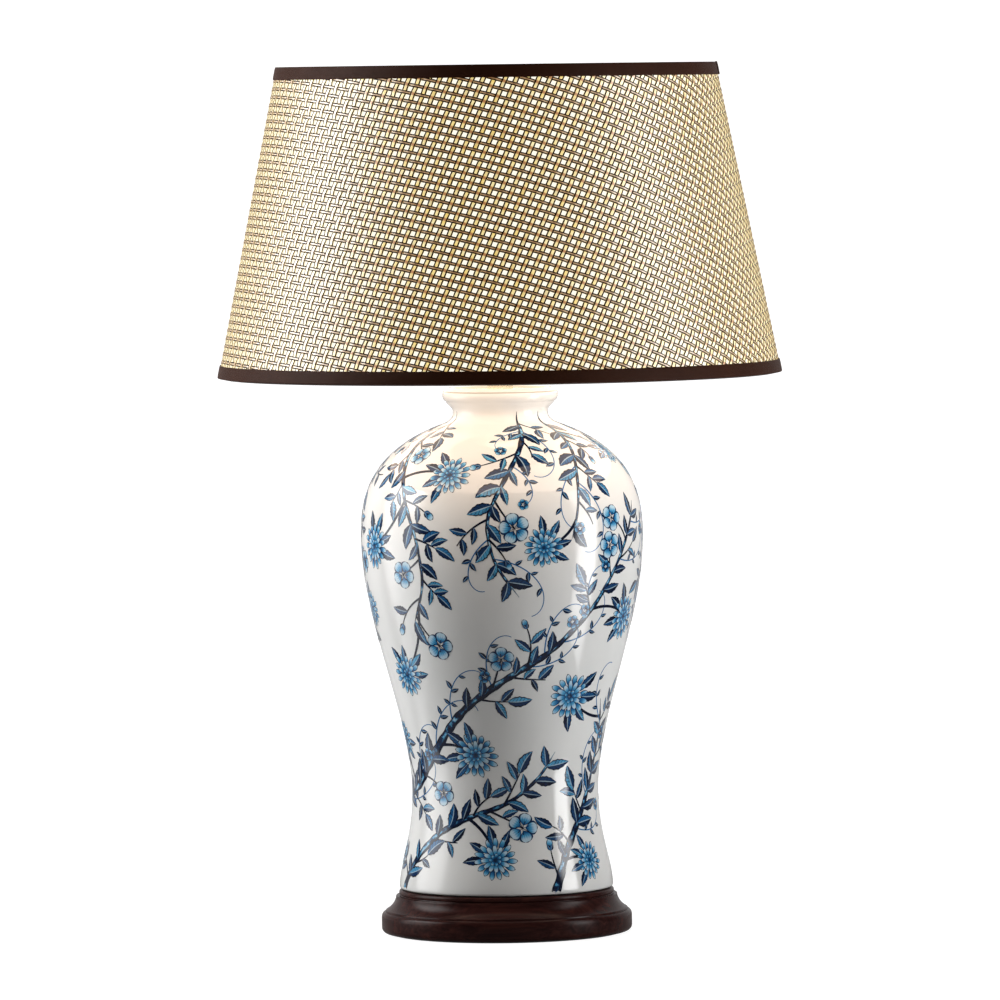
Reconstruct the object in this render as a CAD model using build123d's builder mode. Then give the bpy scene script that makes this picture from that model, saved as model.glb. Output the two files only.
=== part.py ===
"""Table lamp: turned plinth, ceramic vase, switched lampholder, wire carrier and a lift-off shade.

Millimetres. The lamp stands on Z = 0 with its axis on Z. The front is -Y and the cord leaves at +Y.
Every sub-part is drawn where it sits in the lamp.
"""
import os
from math import atan2, cos, hypot, sin

from build123d import *

os.makedirs("parts", exist_ok=True)

# Sizes that are read off the photo
PLINTH_R = 101.6  # 8 in across
PLINTH_TOP = 36.0
PLINTH_RING_H = 18.0
VASE_FOOT_R = 86.6
VASE_WAIST_R = 75.5
VASE_WAIST_Z = 115.0
VASE_BELLY_R = 114.1  # 9 in across
VASE_BELLY_Z = 324.0
VASE_NECK_R = 38.4
VASE_LIP_R = 47.2
VASE_TOP = 442.5  # crown of the rolled lip
LIP_H = 20.0  # from the narrowest place of the neck up to that crown
SHADE_BOTTOM_R = 228.6  # 18 in across
SHADE_TOP_R = 178.4  # 14 in across
SHADE_GAP = 10.5  # between the vase's lip and the shade's lower rim
SHADE_H = 250.5
TRIM_W = 10.5

# Plinth and fixings, in the sizes such lamps are made in
FELT_T = 1.5
FELT_MARGIN = 7.6
FELT_RECESS = 0.5
GASKET_T = 1.0
RECESS_R = 32.0  # the hollow under the plinth
RECESS_TOP = 20.0
WASHER_R = 18.0
WASHER_T = 2.0
NUT_FLATS = 17.0
NUT_H = 6.0
NUT_STICKOUT = 2.0  # how far the tube shows below its nut
CORD_R = 3.2
CORD_Z = 8.0
BUSH_WALL = 1.1
BUSH_L = 12.0
FLANGE_R = 5.8
FLANGE_T = 1.5
FLANGE_SINK = 1.2  # how deep the flange's flat is cut
SEAT_FIT = 0.3  # around the bush's flange, the felt and the tube in the plinth

# Vase wall, tube and brass stack
VASE_WALL = 6.0
VASE_FLOOR = 9.0
LIP_SINK = 3.5  # how far the cap's ledge lies below the lip's crown
LEDGE_R = 37.8
PIPE_R = 5.0  # M10 lamp tube
PIPE_BORE_R = 3.6
FIT = 0.05  # on the radius, between a tube and what is screwed on to it
CAP_T = 1.5
CAP_OVERLAP = 5.0  # how far the brass cap lies over the ledge
CAP_SKIRT = 8.0
CAP_NUT_FLATS = 18.0
CAP_NUT_H = 5.0
NECK_TUBE_R = 8.0
NECK_TUBE_H = 8.5

# Lampholder, E27 with an M40 barrel for the shade ring
HOLDER_R = 22.0
HOLDER_WALL = 1.3
HOLDER_H = 26.0
BOSS_H = 8.5
BAR_UP = 15.0  # the push bar's height in the holder
BAR_H = 6.0
BAR_W = 5.0
BAR_TRAVEL = 7.0
BAR_END = 2.5  # how far the bar shows on the side that is pushed in
BAR_GAP = 0.4
BARREL_R = 20.0
BARREL_WALL = 1.4
BARREL_H = 46.0
SEAT_R = 24.0
SEAT_T = 2.0
INSERT_H = 12.0
INSERT_GAP = 0.3
SHELL_T = 0.6
TERMINAL_R = 1.9
SHADE_RING_R = 24.0
SHADE_RING_H = 7.5

# Bulb, A60 with an E27 cap
BULB_R = 30.0
BULB_CAP_R = 13.0
BULB_CAP_H = 27.0
BULB_GAP = 0.3  # between the cap and the screw shell
BULB_LEVEL = 80.0  # the widest place, above the contact
GLASS_T = 0.9

# Carrier and shade
CARRIER_WIRE_R = 1.6
CARRIER_WIRES = 4
CARRIER_PLATE_T = 1.5
CARRIER_AIR = 16.0  # from the bulb to the upright wires
DUPLEX_DROP = 36.0  # from the shade's top to the carrier's ring
DUPLEX_T = 1.2
DUPLEX_GAP = 0.5
ARM_R = 1.6
ARM_COUNT = 3
WIRE_R = 1.6
WIRE_PLAY = 0.15
TAPE_T = 0.7
COVER_T = 1.6
LINING_T = 0.5
ARM_NOTCH = 0.5

# Levels and radii that follow from those sizes
PLINTH_Z0 = FELT_T - FELT_RECESS
FELT_R = PLINTH_R - FELT_MARGIN
VASE_Z0 = PLINTH_TOP + GASKET_T
VASE_NECK_Z = VASE_TOP - LIP_H
PIPE_Z0 = RECESS_TOP - WASHER_T - NUT_H - NUT_STICKOUT
CAP_SEAT = VASE_TOP - LIP_SINK
CAP_TOP = CAP_SEAT + CAP_T
NUT_TOP = CAP_TOP + CAP_NUT_H
HOLDER_Z0 = NUT_TOP + NECK_TUBE_H
PIPE_TOP = HOLDER_Z0 + BOSS_H
BAR_Z = HOLDER_Z0 + BAR_UP
BARREL_Z0 = HOLDER_Z0 + HOLDER_H
BARREL_TOP = BARREL_Z0 + BARREL_H
BARREL_IN = BARREL_R - BARREL_WALL
SEAT_Z = BARREL_Z0 + SEAT_T
INSERT_TOP = BARREL_Z0 + INSERT_H
SHELL_IN = BULB_CAP_R + BULB_GAP
SHELL_R = SHELL_IN + SHELL_T
TERMINAL_PITCH = (SHELL_R + BARREL_IN) / 2
BULB_Z0 = INSERT_TOP + 4.0
CARRIER_R = BULB_R + CARRIER_AIR
SHADE_BOTTOM_Z = VASE_TOP + SHADE_GAP
SHADE_TOP_Z = SHADE_BOTTOM_Z + SHADE_H
DUPLEX_Z = SHADE_TOP_Z - DUPLEX_DROP

# The shade's slant, and how deep each layer lies below its outer skin
SLANT = hypot(SHADE_BOTTOM_R - SHADE_TOP_R, SHADE_H)
LEAN = atan2(SHADE_BOTTOM_R - SHADE_TOP_R, SHADE_H)
COVER_OUT = -TAPE_T
COVER_IN = COVER_OUT - COVER_T
LINING_IN = COVER_IN - LINING_T
WIRE_POCKET = 2 * (WIRE_R + WIRE_PLAY)
WIRE_OUT = LINING_IN - WIRE_POCKET / 2
WIRE_UP = TAPE_T + WIRE_POCKET / 2


def outline(points):
    """The closed outline (radius, height) of a ring or disc, to be turned about the lamp's axis."""
    with BuildSketch(Plane.XZ) as drawn:
        with BuildLine():
            Polyline(*points, close=True)
        make_face()
    return drawn.sketch


def from_bottom(up, out):
    """A place on the shade's slant: up it from the lower edge, and outward from its skin."""
    r = SHADE_BOTTOM_R - up * sin(LEAN) + out * cos(LEAN)
    z = SHADE_BOTTOM_Z + up * cos(LEAN) + out * sin(LEAN)
    return (r, z)


def from_top(down, out):
    """The same, measured down the slant from the upper edge."""
    return from_bottom(SLANT - down, out)


def tape(place):
    """A tape folded over an edge of the shade and round its wire, back on to the lining."""
    deep = LINING_IN - WIRE_POCKET
    far = TAPE_T + WIRE_POCKET
    return [
        place(0, 0),
        place(TRIM_W, 0),
        place(TRIM_W, COVER_OUT),
        place(TAPE_T, COVER_OUT),
        place(TAPE_T, deep),
        place(far, deep),
        place(far, LINING_IN),
        place(far + TAPE_T, LINING_IN),
        place(far + TAPE_T, deep - TAPE_T),
        place(0, deep - TAPE_T),
    ]


# %% Plinth and what is fixed under it
with BuildPart() as plinth:
    with BuildSketch(Plane.XZ):
        with BuildLine():
            edge = PLINTH_R
            top = PLINTH_TOP
            collar = VASE_FOOT_R
            foot = Line((0, PLINTH_Z0), (edge - 4.5, PLINTH_Z0))
            toe = RadiusArc(foot @ 1, (edge, PLINTH_Z0 + 4.5), -4.5)
            ring = Line(toe @ 1, (edge, PLINTH_RING_H - 2.8))
            brow = RadiusArc(ring @ 1, (edge - 2.8, PLINTH_RING_H), -2.8)
            quirk = Polyline(
                brow @ 1,
                (edge - 3.4, PLINTH_RING_H),
                (edge - 3.4, PLINTH_RING_H + 2.2),
            )
            cove = Bezier(
                quirk @ 1,
                (edge - 7.6, PLINTH_RING_H + 3.4),
                (collar + 3.4, top - 9.8),
                (collar + 3.1, top - 4.8),
            )
            step = Polyline(cove @ 1, (collar - 0.2, top - 4.8), (collar - 0.2, top - 4.2))
            bead = ThreePointArc(step @ 1, (collar + 0.7, top - 2.2), (collar - 1.0, top))
            Polyline(bead @ 1, (0, top), (0, PLINTH_Z0))
        make_face()
    revolve(axis=Axis.Z)
    with Locations(Location((0, 0, PLINTH_Z0), (180, 0, 0))):
        CounterBoreHole(
            radius=PIPE_R + SEAT_FIT,
            counter_bore_radius=RECESS_R,
            counter_bore_depth=RECESS_TOP - PLINTH_Z0,
        )
    with BuildSketch(Plane.XY.offset(PLINTH_Z0)):
        Circle(FELT_R + SEAT_FIT)
    extrude(amount=FELT_RECESS, mode=Mode.SUBTRACT)
    # the way out for the cord, and a flat for its bush
    with BuildSketch(Plane.XZ):
        with Locations((0, CORD_Z)):
            Circle(CORD_R + BUSH_WALL + FIT)
    extrude(amount=-PLINTH_R, mode=Mode.SUBTRACT)
    with BuildSketch(Plane.XZ.offset(FLANGE_SINK - PLINTH_R)):
        with Locations((0, CORD_Z)):
            Circle(FLANGE_R + SEAT_FIT)
    extrude(amount=-PLINTH_R, mode=Mode.SUBTRACT)
plinth.part.label = "plinth"
export_step(plinth.part, "parts/plinth.step")

with BuildPart() as base_felt:
    with BuildSketch():
        Circle(FELT_R)
    extrude(amount=FELT_T)
base_felt.part.label = "base_felt"
export_step(base_felt.part, "parts/base_felt.step")

with BuildPart() as plinth_washer:
    with BuildSketch(Plane.XY.offset(RECESS_TOP)):
        Circle(WASHER_R)
        Circle(PIPE_R + FIT, mode=Mode.SUBTRACT)
    extrude(amount=-WASHER_T)
plinth_washer.part.label = "plinth_washer"
export_step(plinth_washer.part, "parts/plinth_washer.step")

with BuildPart() as plinth_nut:
    with BuildSketch(Plane.XY.offset(RECESS_TOP - WASHER_T)):
        RegularPolygon(radius=NUT_FLATS / 2, side_count=6, major_radius=False)
        Circle(PIPE_R + FIT, mode=Mode.SUBTRACT)
    extrude(amount=-NUT_H)
    chamfer(plinth_nut.edges().filter_by(GeomType.CIRCLE).sort_by(Axis.Z)[0], 0.5)
plinth_nut.part.label = "plinth_nut"
export_step(plinth_nut.part, "parts/plinth_nut.step")

with BuildPart() as cord_bush:
    flange_seat = Plane.XZ.offset(FLANGE_SINK - PLINTH_R)
    with BuildSketch(flange_seat):
        with Locations((0, CORD_Z)):
            Circle(FLANGE_R)
    extrude(amount=-FLANGE_T)
    fillet(cord_bush.edges().sort_by(Axis.Y)[-1], 0.6)
    with BuildSketch(flange_seat):
        with Locations((0, CORD_Z)):
            Circle(CORD_R + BUSH_WALL)
    extrude(amount=BUSH_L)
    with BuildSketch(flange_seat):
        with Locations((0, CORD_Z)):
            Circle(CORD_R)
    extrude(amount=BUSH_L, both=True, mode=Mode.SUBTRACT)
cord_bush.part.label = "cord_bush"
export_step(cord_bush.part, "parts/cord_bush.step")

with BuildPart() as foot_gasket:
    with BuildSketch(Plane.XY.offset(PLINTH_TOP)):
        Circle(VASE_FOOT_R - 7.0)
        Circle(VASE_FOOT_R - 27.0, mode=Mode.SUBTRACT)
    extrude(amount=GASKET_T)
foot_gasket.part.label = "foot_gasket"
export_step(foot_gasket.part, "parts/foot_gasket.step")

# %% Vase: one turned profile, foot to lip outside and lip to floor inside
with BuildPart() as vase:
    with BuildSketch(Plane.XZ):
        with BuildLine():
            rise = VASE_BELLY_Z - VASE_WAIST_Z
            fall = VASE_NECK_Z - VASE_BELLY_Z
            belly_in = VASE_BELLY_R - VASE_WALL
            waist_in = VASE_WAIST_R - VASE_WALL
            throat_r = VASE_NECK_R - VASE_WALL
            floor_z = VASE_Z0 + VASE_FLOOR
            base = Line((0, VASE_Z0), (VASE_FOOT_R - 2.0, VASE_Z0))
            heel = RadiusArc(base @ 1, (VASE_FOOT_R, VASE_Z0 + 2.0), -2.0)
            lower = Bezier(
                heel @ 1,
                (VASE_FOOT_R - 1.0, VASE_Z0 + 23.0),
                (VASE_WAIST_R, VASE_WAIST_Z - 37.0),
                (VASE_WAIST_R, VASE_WAIST_Z),
            )
            flank = Bezier(
                lower @ 1,
                (VASE_WAIST_R, VASE_WAIST_Z + 0.295 * rise),
                (VASE_BELLY_R, VASE_BELLY_Z - 0.344 * rise),
                (VASE_BELLY_R, VASE_BELLY_Z),
            )
            shoulder = Bezier(
                flank @ 1,
                (VASE_BELLY_R, VASE_BELLY_Z + 0.2487 * fall),
                (VASE_NECK_R + 72.5, VASE_NECK_Z - 0.3178 * fall),
                (VASE_NECK_R + 8.1, VASE_NECK_Z - 9.0),
            )
            throat = Bezier(
                shoulder @ 1,
                (VASE_NECK_R + 2.0, VASE_NECK_Z - 6.9),
                (VASE_NECK_R, VASE_NECK_Z - 4.0),
                (VASE_NECK_R, VASE_NECK_Z),
            )
            flare = Bezier(
                throat @ 1,
                (VASE_NECK_R, VASE_NECK_Z + 4.5),
                (VASE_LIP_R - 4.6, VASE_NECK_Z + 5.5),
                (VASE_LIP_R - 3.0, VASE_NECK_Z + 9.0),
            )
            roll = Bezier(
                flare @ 1,
                (VASE_LIP_R + 1.3, VASE_NECK_Z + 11.0),
                (VASE_LIP_R + 0.8, VASE_TOP),
                (VASE_LIP_R - 6.7, VASE_TOP),
            )
            tuck = Bezier(
                roll @ 1,
                (VASE_LIP_R - 8.4, VASE_TOP),
                (LEDGE_R, VASE_TOP - 1.4),
                (LEDGE_R, CAP_SEAT),
            )
            ledge = Line(tuck @ 1, (throat_r + 2.0, CAP_SEAT))
            mouth = RadiusArc(ledge @ 1, (throat_r, CAP_SEAT - 2.0), -2.0)
            throat_in = Line(mouth @ 1, (throat_r, VASE_NECK_Z - 8.0))
            shoulder_in = Bezier(
                throat_in @ 1,
                (throat_r + 39.0, VASE_NECK_Z - 0.2843 * fall),
                (belly_in, VASE_BELLY_Z + 0.66 * fall),
                (belly_in, VASE_BELLY_Z - 4.0),
            )
            flank_in = Bezier(
                shoulder_in @ 1,
                (belly_in, VASE_BELLY_Z - 4.0 - 0.344 * rise),
                (waist_in, VASE_WAIST_Z + 0.295 * rise),
                (waist_in, VASE_WAIST_Z),
            )
            lower_in = Bezier(
                flank_in @ 1,
                (waist_in, VASE_WAIST_Z - 37.0),
                (VASE_FOOT_R - VASE_WALL - 2.0, floor_z + 18.0),
                (VASE_FOOT_R - VASE_WALL - 2.0, floor_z),
            )
            Polyline(lower_in @ 1, (0, floor_z), (0, VASE_Z0))
        make_face()
    revolve(axis=Axis.Z)
    with Locations((0, 0, floor_z)):
        Hole(radius=PIPE_R + 1.0, depth=VASE_FLOOR)
vase.part.label = "vase"
export_step(vase.part, "parts/vase.step")

# %% Tube and the brass stack on the mouth
with BuildPart() as lamp_pipe:
    with BuildSketch(Plane.XY.offset(PIPE_Z0)):
        Circle(PIPE_R)
        Circle(PIPE_BORE_R, mode=Mode.SUBTRACT)
    extrude(amount=PIPE_TOP - PIPE_Z0)
lamp_pipe.part.label = "lamp_pipe"
export_step(lamp_pipe.part, "parts/lamp_pipe.step")

with BuildPart() as vase_cap:
    skirt = VASE_NECK_R - VASE_WALL - 1.0
    rim_r = skirt + 1.0 + CAP_OVERLAP
    turned = outline(
        [
            (PIPE_R + FIT, CAP_SEAT),
            (skirt - CAP_T, CAP_SEAT),
            (skirt - CAP_T, CAP_SEAT - CAP_SKIRT),
            (skirt, CAP_SEAT - CAP_SKIRT),
            (skirt, CAP_SEAT),
            (rim_r, CAP_SEAT),
            (rim_r, CAP_SEAT + CAP_T * 0.6),
            (rim_r - CAP_T * 0.6, CAP_TOP),
            (PIPE_R + FIT, CAP_TOP),
        ]
    )
    revolve(turned, axis=Axis.Z)
vase_cap.part.label = "vase_cap"
export_step(vase_cap.part, "parts/vase_cap.step")

with BuildPart() as cap_nut:
    with BuildSketch(Plane.XY.offset(CAP_TOP)):
        RegularPolygon(radius=CAP_NUT_FLATS / 2, side_count=6, major_radius=False)
        Circle(PIPE_R + FIT, mode=Mode.SUBTRACT)
    extrude(amount=CAP_NUT_H)
    chamfer(cap_nut.edges().filter_by(GeomType.CIRCLE).sort_by(Axis.Z)[-1], 0.5)
cap_nut.part.label = "cap_nut"
export_step(cap_nut.part, "parts/cap_nut.step")

with BuildPart() as neck_tube:
    with BuildSketch(Plane.XY.offset(NUT_TOP)):
        Circle(NECK_TUBE_R)
        Circle(PIPE_R + FIT, mode=Mode.SUBTRACT)
    extrude(amount=NECK_TUBE_H)
neck_tube.part.label = "neck_tube"
export_step(neck_tube.part, "parts/neck_tube.step")

# %% Lampholder
with BuildPart() as holder_cap:
    with BuildSketch(Plane.XZ):
        with BuildLine():
            z0 = HOLDER_Z0
            inner = HOLDER_R - HOLDER_WALL
            ledge = BARREL_Z0 - HOLDER_WALL
            boss = Line((PIPE_R + FIT, z0), (PIPE_R + 5.0, z0))
            dome = Bezier(
                boss @ 1,
                (HOLDER_R - 5.0, z0 + 0.8),
                (HOLDER_R, z0 + 4.5),
                (HOLDER_R, z0 + 11.0),
            )
            wall = Polyline(
                dome @ 1,
                (HOLDER_R, BARREL_Z0),
                (BARREL_IN - 2.6, BARREL_Z0),
                (BARREL_IN - 2.6, ledge),
                (inner, ledge),
                (inner, z0 + 11.0),
            )
            dome_in = Bezier(
                wall @ 1,
                (inner, z0 + 5.6),
                (inner - 4.7, z0 + 2.2),
                (PIPE_R + 3.2, z0 + 1.6),
            )
            Polyline(dome_in @ 1, (PIPE_R + 3.2, PIPE_TOP), (PIPE_R + FIT, PIPE_TOP), boss @ 0)
        make_face()
    revolve(axis=Axis.Z)
    with BuildSketch(Plane.YZ):
        with Locations((0, BAR_Z)):
            Rectangle(BAR_W + 2 * BAR_GAP, BAR_H + 2 * BAR_GAP)
    extrude(amount=HOLDER_R, both=True, mode=Mode.SUBTRACT)
holder_cap.part.label = "holder_cap"
export_step(holder_cap.part, "parts/holder_cap.step")

with BuildPart() as holder_barrel:
    mouth_r = SHELL_R + 1.1
    turned = outline(
        [
            (BARREL_IN, BARREL_Z0),
            (SEAT_R, BARREL_Z0),
            (SEAT_R, SEAT_Z),
            (BARREL_R, SEAT_Z),
            (BARREL_R, BARREL_TOP - 1.0),
            (BARREL_R - 1.0, BARREL_TOP),
            (mouth_r, BARREL_TOP),
            (mouth_r, BARREL_TOP - BARREL_WALL),
            (BARREL_IN, BARREL_TOP - BARREL_WALL),
        ]
    )
    revolve(turned, axis=Axis.Z)
holder_barrel.part.label = "holder_barrel"
export_step(holder_barrel.part, "parts/holder_barrel.step")

with BuildPart() as holder_insert:
    with BuildSketch(Plane.XY.offset(BARREL_Z0)):
        Circle(BARREL_IN - INSERT_GAP)
    extrude(amount=INSERT_H)
    with Locations((0, 0, INSERT_TOP)):
        with PolarLocations(TERMINAL_PITCH, 2, start_angle=90):
            Hole(radius=TERMINAL_R - 0.6, depth=INSERT_H * 2 / 3)
    # wire holes from below
    with BuildSketch(Plane.XY.offset(BARREL_Z0)):
        with PolarLocations(SHELL_IN - 4.3, 2):
            Circle(2.0)
    extrude(amount=INSERT_H / 2, mode=Mode.SUBTRACT)
holder_insert.part.label = "holder_insert"
export_step(holder_insert.part, "parts/holder_insert.step")

with BuildPart() as screw_shell:
    floor_r = SHELL_IN - 4.3
    turned = outline(
        [
            (floor_r, INSERT_TOP),
            (SHELL_R, INSERT_TOP),
            (SHELL_R, BARREL_TOP - 3.5),
            (SHELL_IN, BARREL_TOP - 3.5),
            (SHELL_IN, INSERT_TOP + SHELL_T),
            (floor_r, INSERT_TOP + SHELL_T),
        ]
    )
    revolve(turned, axis=Axis.Z)
screw_shell.part.label = "screw_shell"
export_step(screw_shell.part, "parts/screw_shell.step")

with BuildPart() as centre_contact:
    with BuildSketch(Plane.XZ):
        with BuildLine():
            Polyline(
                (-6.0, INSERT_TOP),
                (0.4, INSERT_TOP),
                (4.4, BULB_Z0 - BULB_GAP - 0.6),
                (4.4, BULB_Z0 - BULB_GAP),
                (0.0, INSERT_TOP + 0.8),
                (-6.0, INSERT_TOP + 0.6),
                close=True,
            )
        make_face()
    extrude(amount=2.5, both=True)
centre_contact.part.label = "centre_contact"
export_step(centre_contact.part, "parts/centre_contact.step")

with BuildPart() as terminal_screws:
    with BuildSketch(Plane.XY.offset(INSERT_TOP)):
        with PolarLocations(TERMINAL_PITCH, 2, start_angle=90):
            Circle(TERMINAL_R)
    extrude(amount=1.6)
    with BuildSketch(Plane.XY.offset(INSERT_TOP)):
        with PolarLocations(TERMINAL_PITCH, 2, start_angle=90):
            Circle(TERMINAL_R - 0.6 - FIT)
    extrude(amount=-INSERT_H * 2 / 3 + 1.0)
terminal_screws.part.label = "terminal_screws"
export_step(terminal_screws.part, "parts/terminal_screws.step")

with BuildPart() as shade_ring:
    with BuildSketch(Plane.XY.offset(SEAT_Z + CARRIER_PLATE_T)):
        Circle(SHADE_RING_R)
        Circle(BARREL_R + FIT, mode=Mode.SUBTRACT)
    extrude(amount=SHADE_RING_H)
    fillet(shade_ring.edges().group_by(Axis.Z)[-1], 0.8)
shade_ring.part.label = "shade_ring"
export_step(shade_ring.part, "parts/shade_ring.step")

# The push bar stands out on +X by its travel while the lamp is on
with BuildPart() as switch_bar:
    with Locations((BAR_TRAVEL / 2, 0, BAR_Z)):
        Box(2 * (HOLDER_R + BAR_END) + BAR_TRAVEL, BAR_W, BAR_H)
    fillet(switch_bar.edges().filter_by(Axis.X), 0.8)
    ends = switch_bar.faces().filter_by(Axis.X).edges()
    fillet(ends, 0.7)
switch_bar.part.label = "switch_bar"
export_step(switch_bar.part, "parts/switch_bar.step")

# %% Bulb
with BuildPart() as bulb_contact:
    with BuildSketch(Plane.XY.offset(BULB_Z0)):
        Circle(4.6)
    extrude(amount=1.5)
    fillet(bulb_contact.edges().sort_by(Axis.Z)[0], 0.6)
bulb_contact.part.label = "bulb_contact"
export_step(bulb_contact.part, "parts/bulb_contact.step")

with BuildPart() as bulb_insulator:
    cone_top = BULB_Z0 + 5.5
    turned = outline(
        [
            (0, BULB_Z0 + 1.5),
            (5.6, BULB_Z0 + 1.5),
            (BULB_CAP_R - 1.6, cone_top),
            (0, cone_top),
        ]
    )
    revolve(turned, axis=Axis.Z)
bulb_insulator.part.label = "bulb_insulator"
export_step(bulb_insulator.part, "parts/bulb_insulator.step")

with BuildPart() as bulb_cap:
    cap_in = BULB_CAP_R - 0.5
    turned = outline(
        [
            (0, cone_top),
            (BULB_CAP_R - 1.6, cone_top),
            (BULB_CAP_R, cone_top + 2.0),
            (BULB_CAP_R, BULB_Z0 + BULB_CAP_H),
            (cap_in, BULB_Z0 + BULB_CAP_H),
            (cap_in, cone_top + 1.5),
            (0, cone_top + 1.5),
        ]
    )
    revolve(turned, axis=Axis.Z)
bulb_cap.part.label = "bulb_cap"
export_step(bulb_cap.part, "parts/bulb_cap.step")

with BuildPart() as bulb_glass:
    with BuildSketch(Plane.XZ):
        with BuildLine():
            neck_r = cap_in - 0.1
            neck_z = BULB_Z0 + BULB_CAP_H
            wide_z = BULB_Z0 + BULB_LEVEL
            bore = BULB_R - GLASS_T
            neck = Line((neck_r, neck_z - 7.0), (neck_r, neck_z + 1.5))
            pear = Bezier(
                neck @ 1,
                (neck_r, neck_z + 17.0),
                (BULB_R, wide_z - 22.0),
                (BULB_R, wide_z),
            )
            crown = RadiusArc(pear @ 1, (0, wide_z + BULB_R), -BULB_R)
            skin = Line(crown @ 1, (0, wide_z + bore))
            crown_in = RadiusArc(skin @ 1, (bore, wide_z), bore)
            pear_in = Bezier(
                crown_in @ 1,
                (bore, wide_z - 22.0),
                (neck_r - GLASS_T, neck_z + 17.0),
                (neck_r - GLASS_T, neck_z + 1.5),
            )
            Polyline(pear_in @ 1, (neck_r - GLASS_T, neck_z - 7.0), neck @ 0)
        make_face()
    revolve(axis=Axis.Z)
bulb_glass.part.label = "bulb_glass"
export_step(bulb_glass.part, "parts/bulb_glass.step")

# %% Wire carrier that turns on the lampholder and holds the shade up
with BuildPart() as carrier_leg:
    with BuildLine(Plane.XZ):
        leg = FilletPolyline(
            (SHADE_RING_R + CARRIER_WIRE_R, SEAT_Z + CARRIER_WIRE_R),
            (CARRIER_R - 8.0, SEAT_Z + CARRIER_WIRE_R),
            (CARRIER_R, SEAT_Z + 32.0),
            (CARRIER_R, DUPLEX_Z),
            radius=9.0,
        )
    with BuildSketch(leg ^ 0):
        Circle(CARRIER_WIRE_R)
    sweep()

with BuildPart() as shade_carrier:
    with BuildSketch(Plane.XY.offset(SEAT_Z)):
        Circle(SHADE_RING_R + 4.0)
        Circle(BARREL_R + BAR_GAP, mode=Mode.SUBTRACT)
    extrude(amount=CARRIER_PLATE_T)
    with BuildSketch(Plane.XZ):
        with Locations((CARRIER_R, DUPLEX_Z)):
            Circle(CARRIER_WIRE_R + 0.2)
    revolve(axis=Axis.Z)
    with PolarLocations(0, CARRIER_WIRES, start_angle=45):
        add(carrier_leg.part)
shade_carrier.part.label = "shade_carrier"
export_step(shade_carrier.part, "parts/shade_carrier.step")

# %% Shade frame: wire ring, arms and pressed duplex ring welded together at the top
top_wire = from_top(WIRE_UP, WIRE_OUT)
duplex_under = DUPLEX_Z + CARRIER_WIRE_R + 0.2 + DUPLEX_GAP / 2
duplex_wall = CARRIER_R + CARRIER_WIRE_R + 0.2 + DUPLEX_GAP

with BuildPart() as fitter_arm:
    with BuildLine(Plane.XZ):
        arm = FilletPolyline(
            (duplex_wall + DUPLEX_T / 2, DUPLEX_Z - 1.0),
            (duplex_wall + 12.0, DUPLEX_Z - 1.0),
            top_wire,
            radius=14.0,
        )
    with BuildSketch(arm ^ 0):
        Circle(ARM_R)
    sweep()
    # the arm's end is flush inside the pressed ring
    with BuildSketch(Plane.XY.offset(DUPLEX_Z - 6.0)):
        Circle(duplex_wall)
    extrude(amount=12.0, mode=Mode.SUBTRACT)

with BuildPart() as top_fitter:
    turned = outline(
        [
            (CARRIER_R - 4.0, duplex_under),
            (duplex_wall, duplex_under),
            (duplex_wall, DUPLEX_Z - 6.0),
            (duplex_wall + DUPLEX_T, DUPLEX_Z - 6.0),
            (duplex_wall + DUPLEX_T, duplex_under + DUPLEX_T),
            (CARRIER_R - 4.0, duplex_under + DUPLEX_T),
        ]
    )
    revolve(turned, axis=Axis.Z)
    with BuildSketch(Plane.XZ):
        with Locations(top_wire):
            Circle(WIRE_R)
    revolve(axis=Axis.Z)
    with PolarLocations(0, ARM_COUNT, start_angle=90):
        add(fitter_arm.part)
top_fitter.part.label = "top_fitter"
export_step(top_fitter.part, "parts/top_fitter.step")

with BuildPart() as bottom_wire:
    with BuildSketch(Plane.XZ):
        with Locations(from_bottom(WIRE_UP, WIRE_OUT)):
            Circle(WIRE_R)
    revolve(axis=Axis.Z)
bottom_wire.part.label = "bottom_wire"
export_step(bottom_wire.part, "parts/bottom_wire.step")

# %% Shade skin: lining and woven cover are laminated, and both edges are taped
with BuildPart() as shade_lining:
    turned = outline(
        [
            from_bottom(TAPE_T, LINING_IN),
            from_bottom(TAPE_T, COVER_IN),
            from_top(TAPE_T, COVER_IN),
            from_top(TAPE_T, LINING_IN),
        ]
    )
    revolve(turned, axis=Axis.Z)
shade_lining.part.label = "shade_lining"
export_step(shade_lining.part, "parts/shade_lining.step")

with BuildPart() as shade_cover:
    turned = outline(
        [
            from_bottom(TAPE_T, COVER_IN),
            from_bottom(TAPE_T, COVER_OUT),
            from_top(TAPE_T, COVER_OUT),
            from_top(TAPE_T, COVER_IN),
        ]
    )
    revolve(turned, axis=Axis.Z)
shade_cover.part.label = "shade_cover"
export_step(shade_cover.part, "parts/shade_cover.step")

with BuildPart() as bottom_trim:
    revolve(outline(tape(from_bottom)), axis=Axis.Z)
bottom_trim.part.label = "bottom_trim"
export_step(bottom_trim.part, "parts/bottom_trim.step")

# The upper tape is slit where an arm comes in
with BuildPart() as arm_notch:
    with BuildSketch(arm ^ 1):
        Circle(ARM_R + ARM_NOTCH)
    extrude(amount=-16.0)

with BuildPart() as top_trim:
    revolve(outline(tape(from_top)), axis=Axis.Z)
    with PolarLocations(0, ARM_COUNT, start_angle=90):
        add(arm_notch.part, mode=Mode.SUBTRACT)
top_trim.part.label = "top_trim"
export_step(top_trim.part, "parts/top_trim.step")
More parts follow.
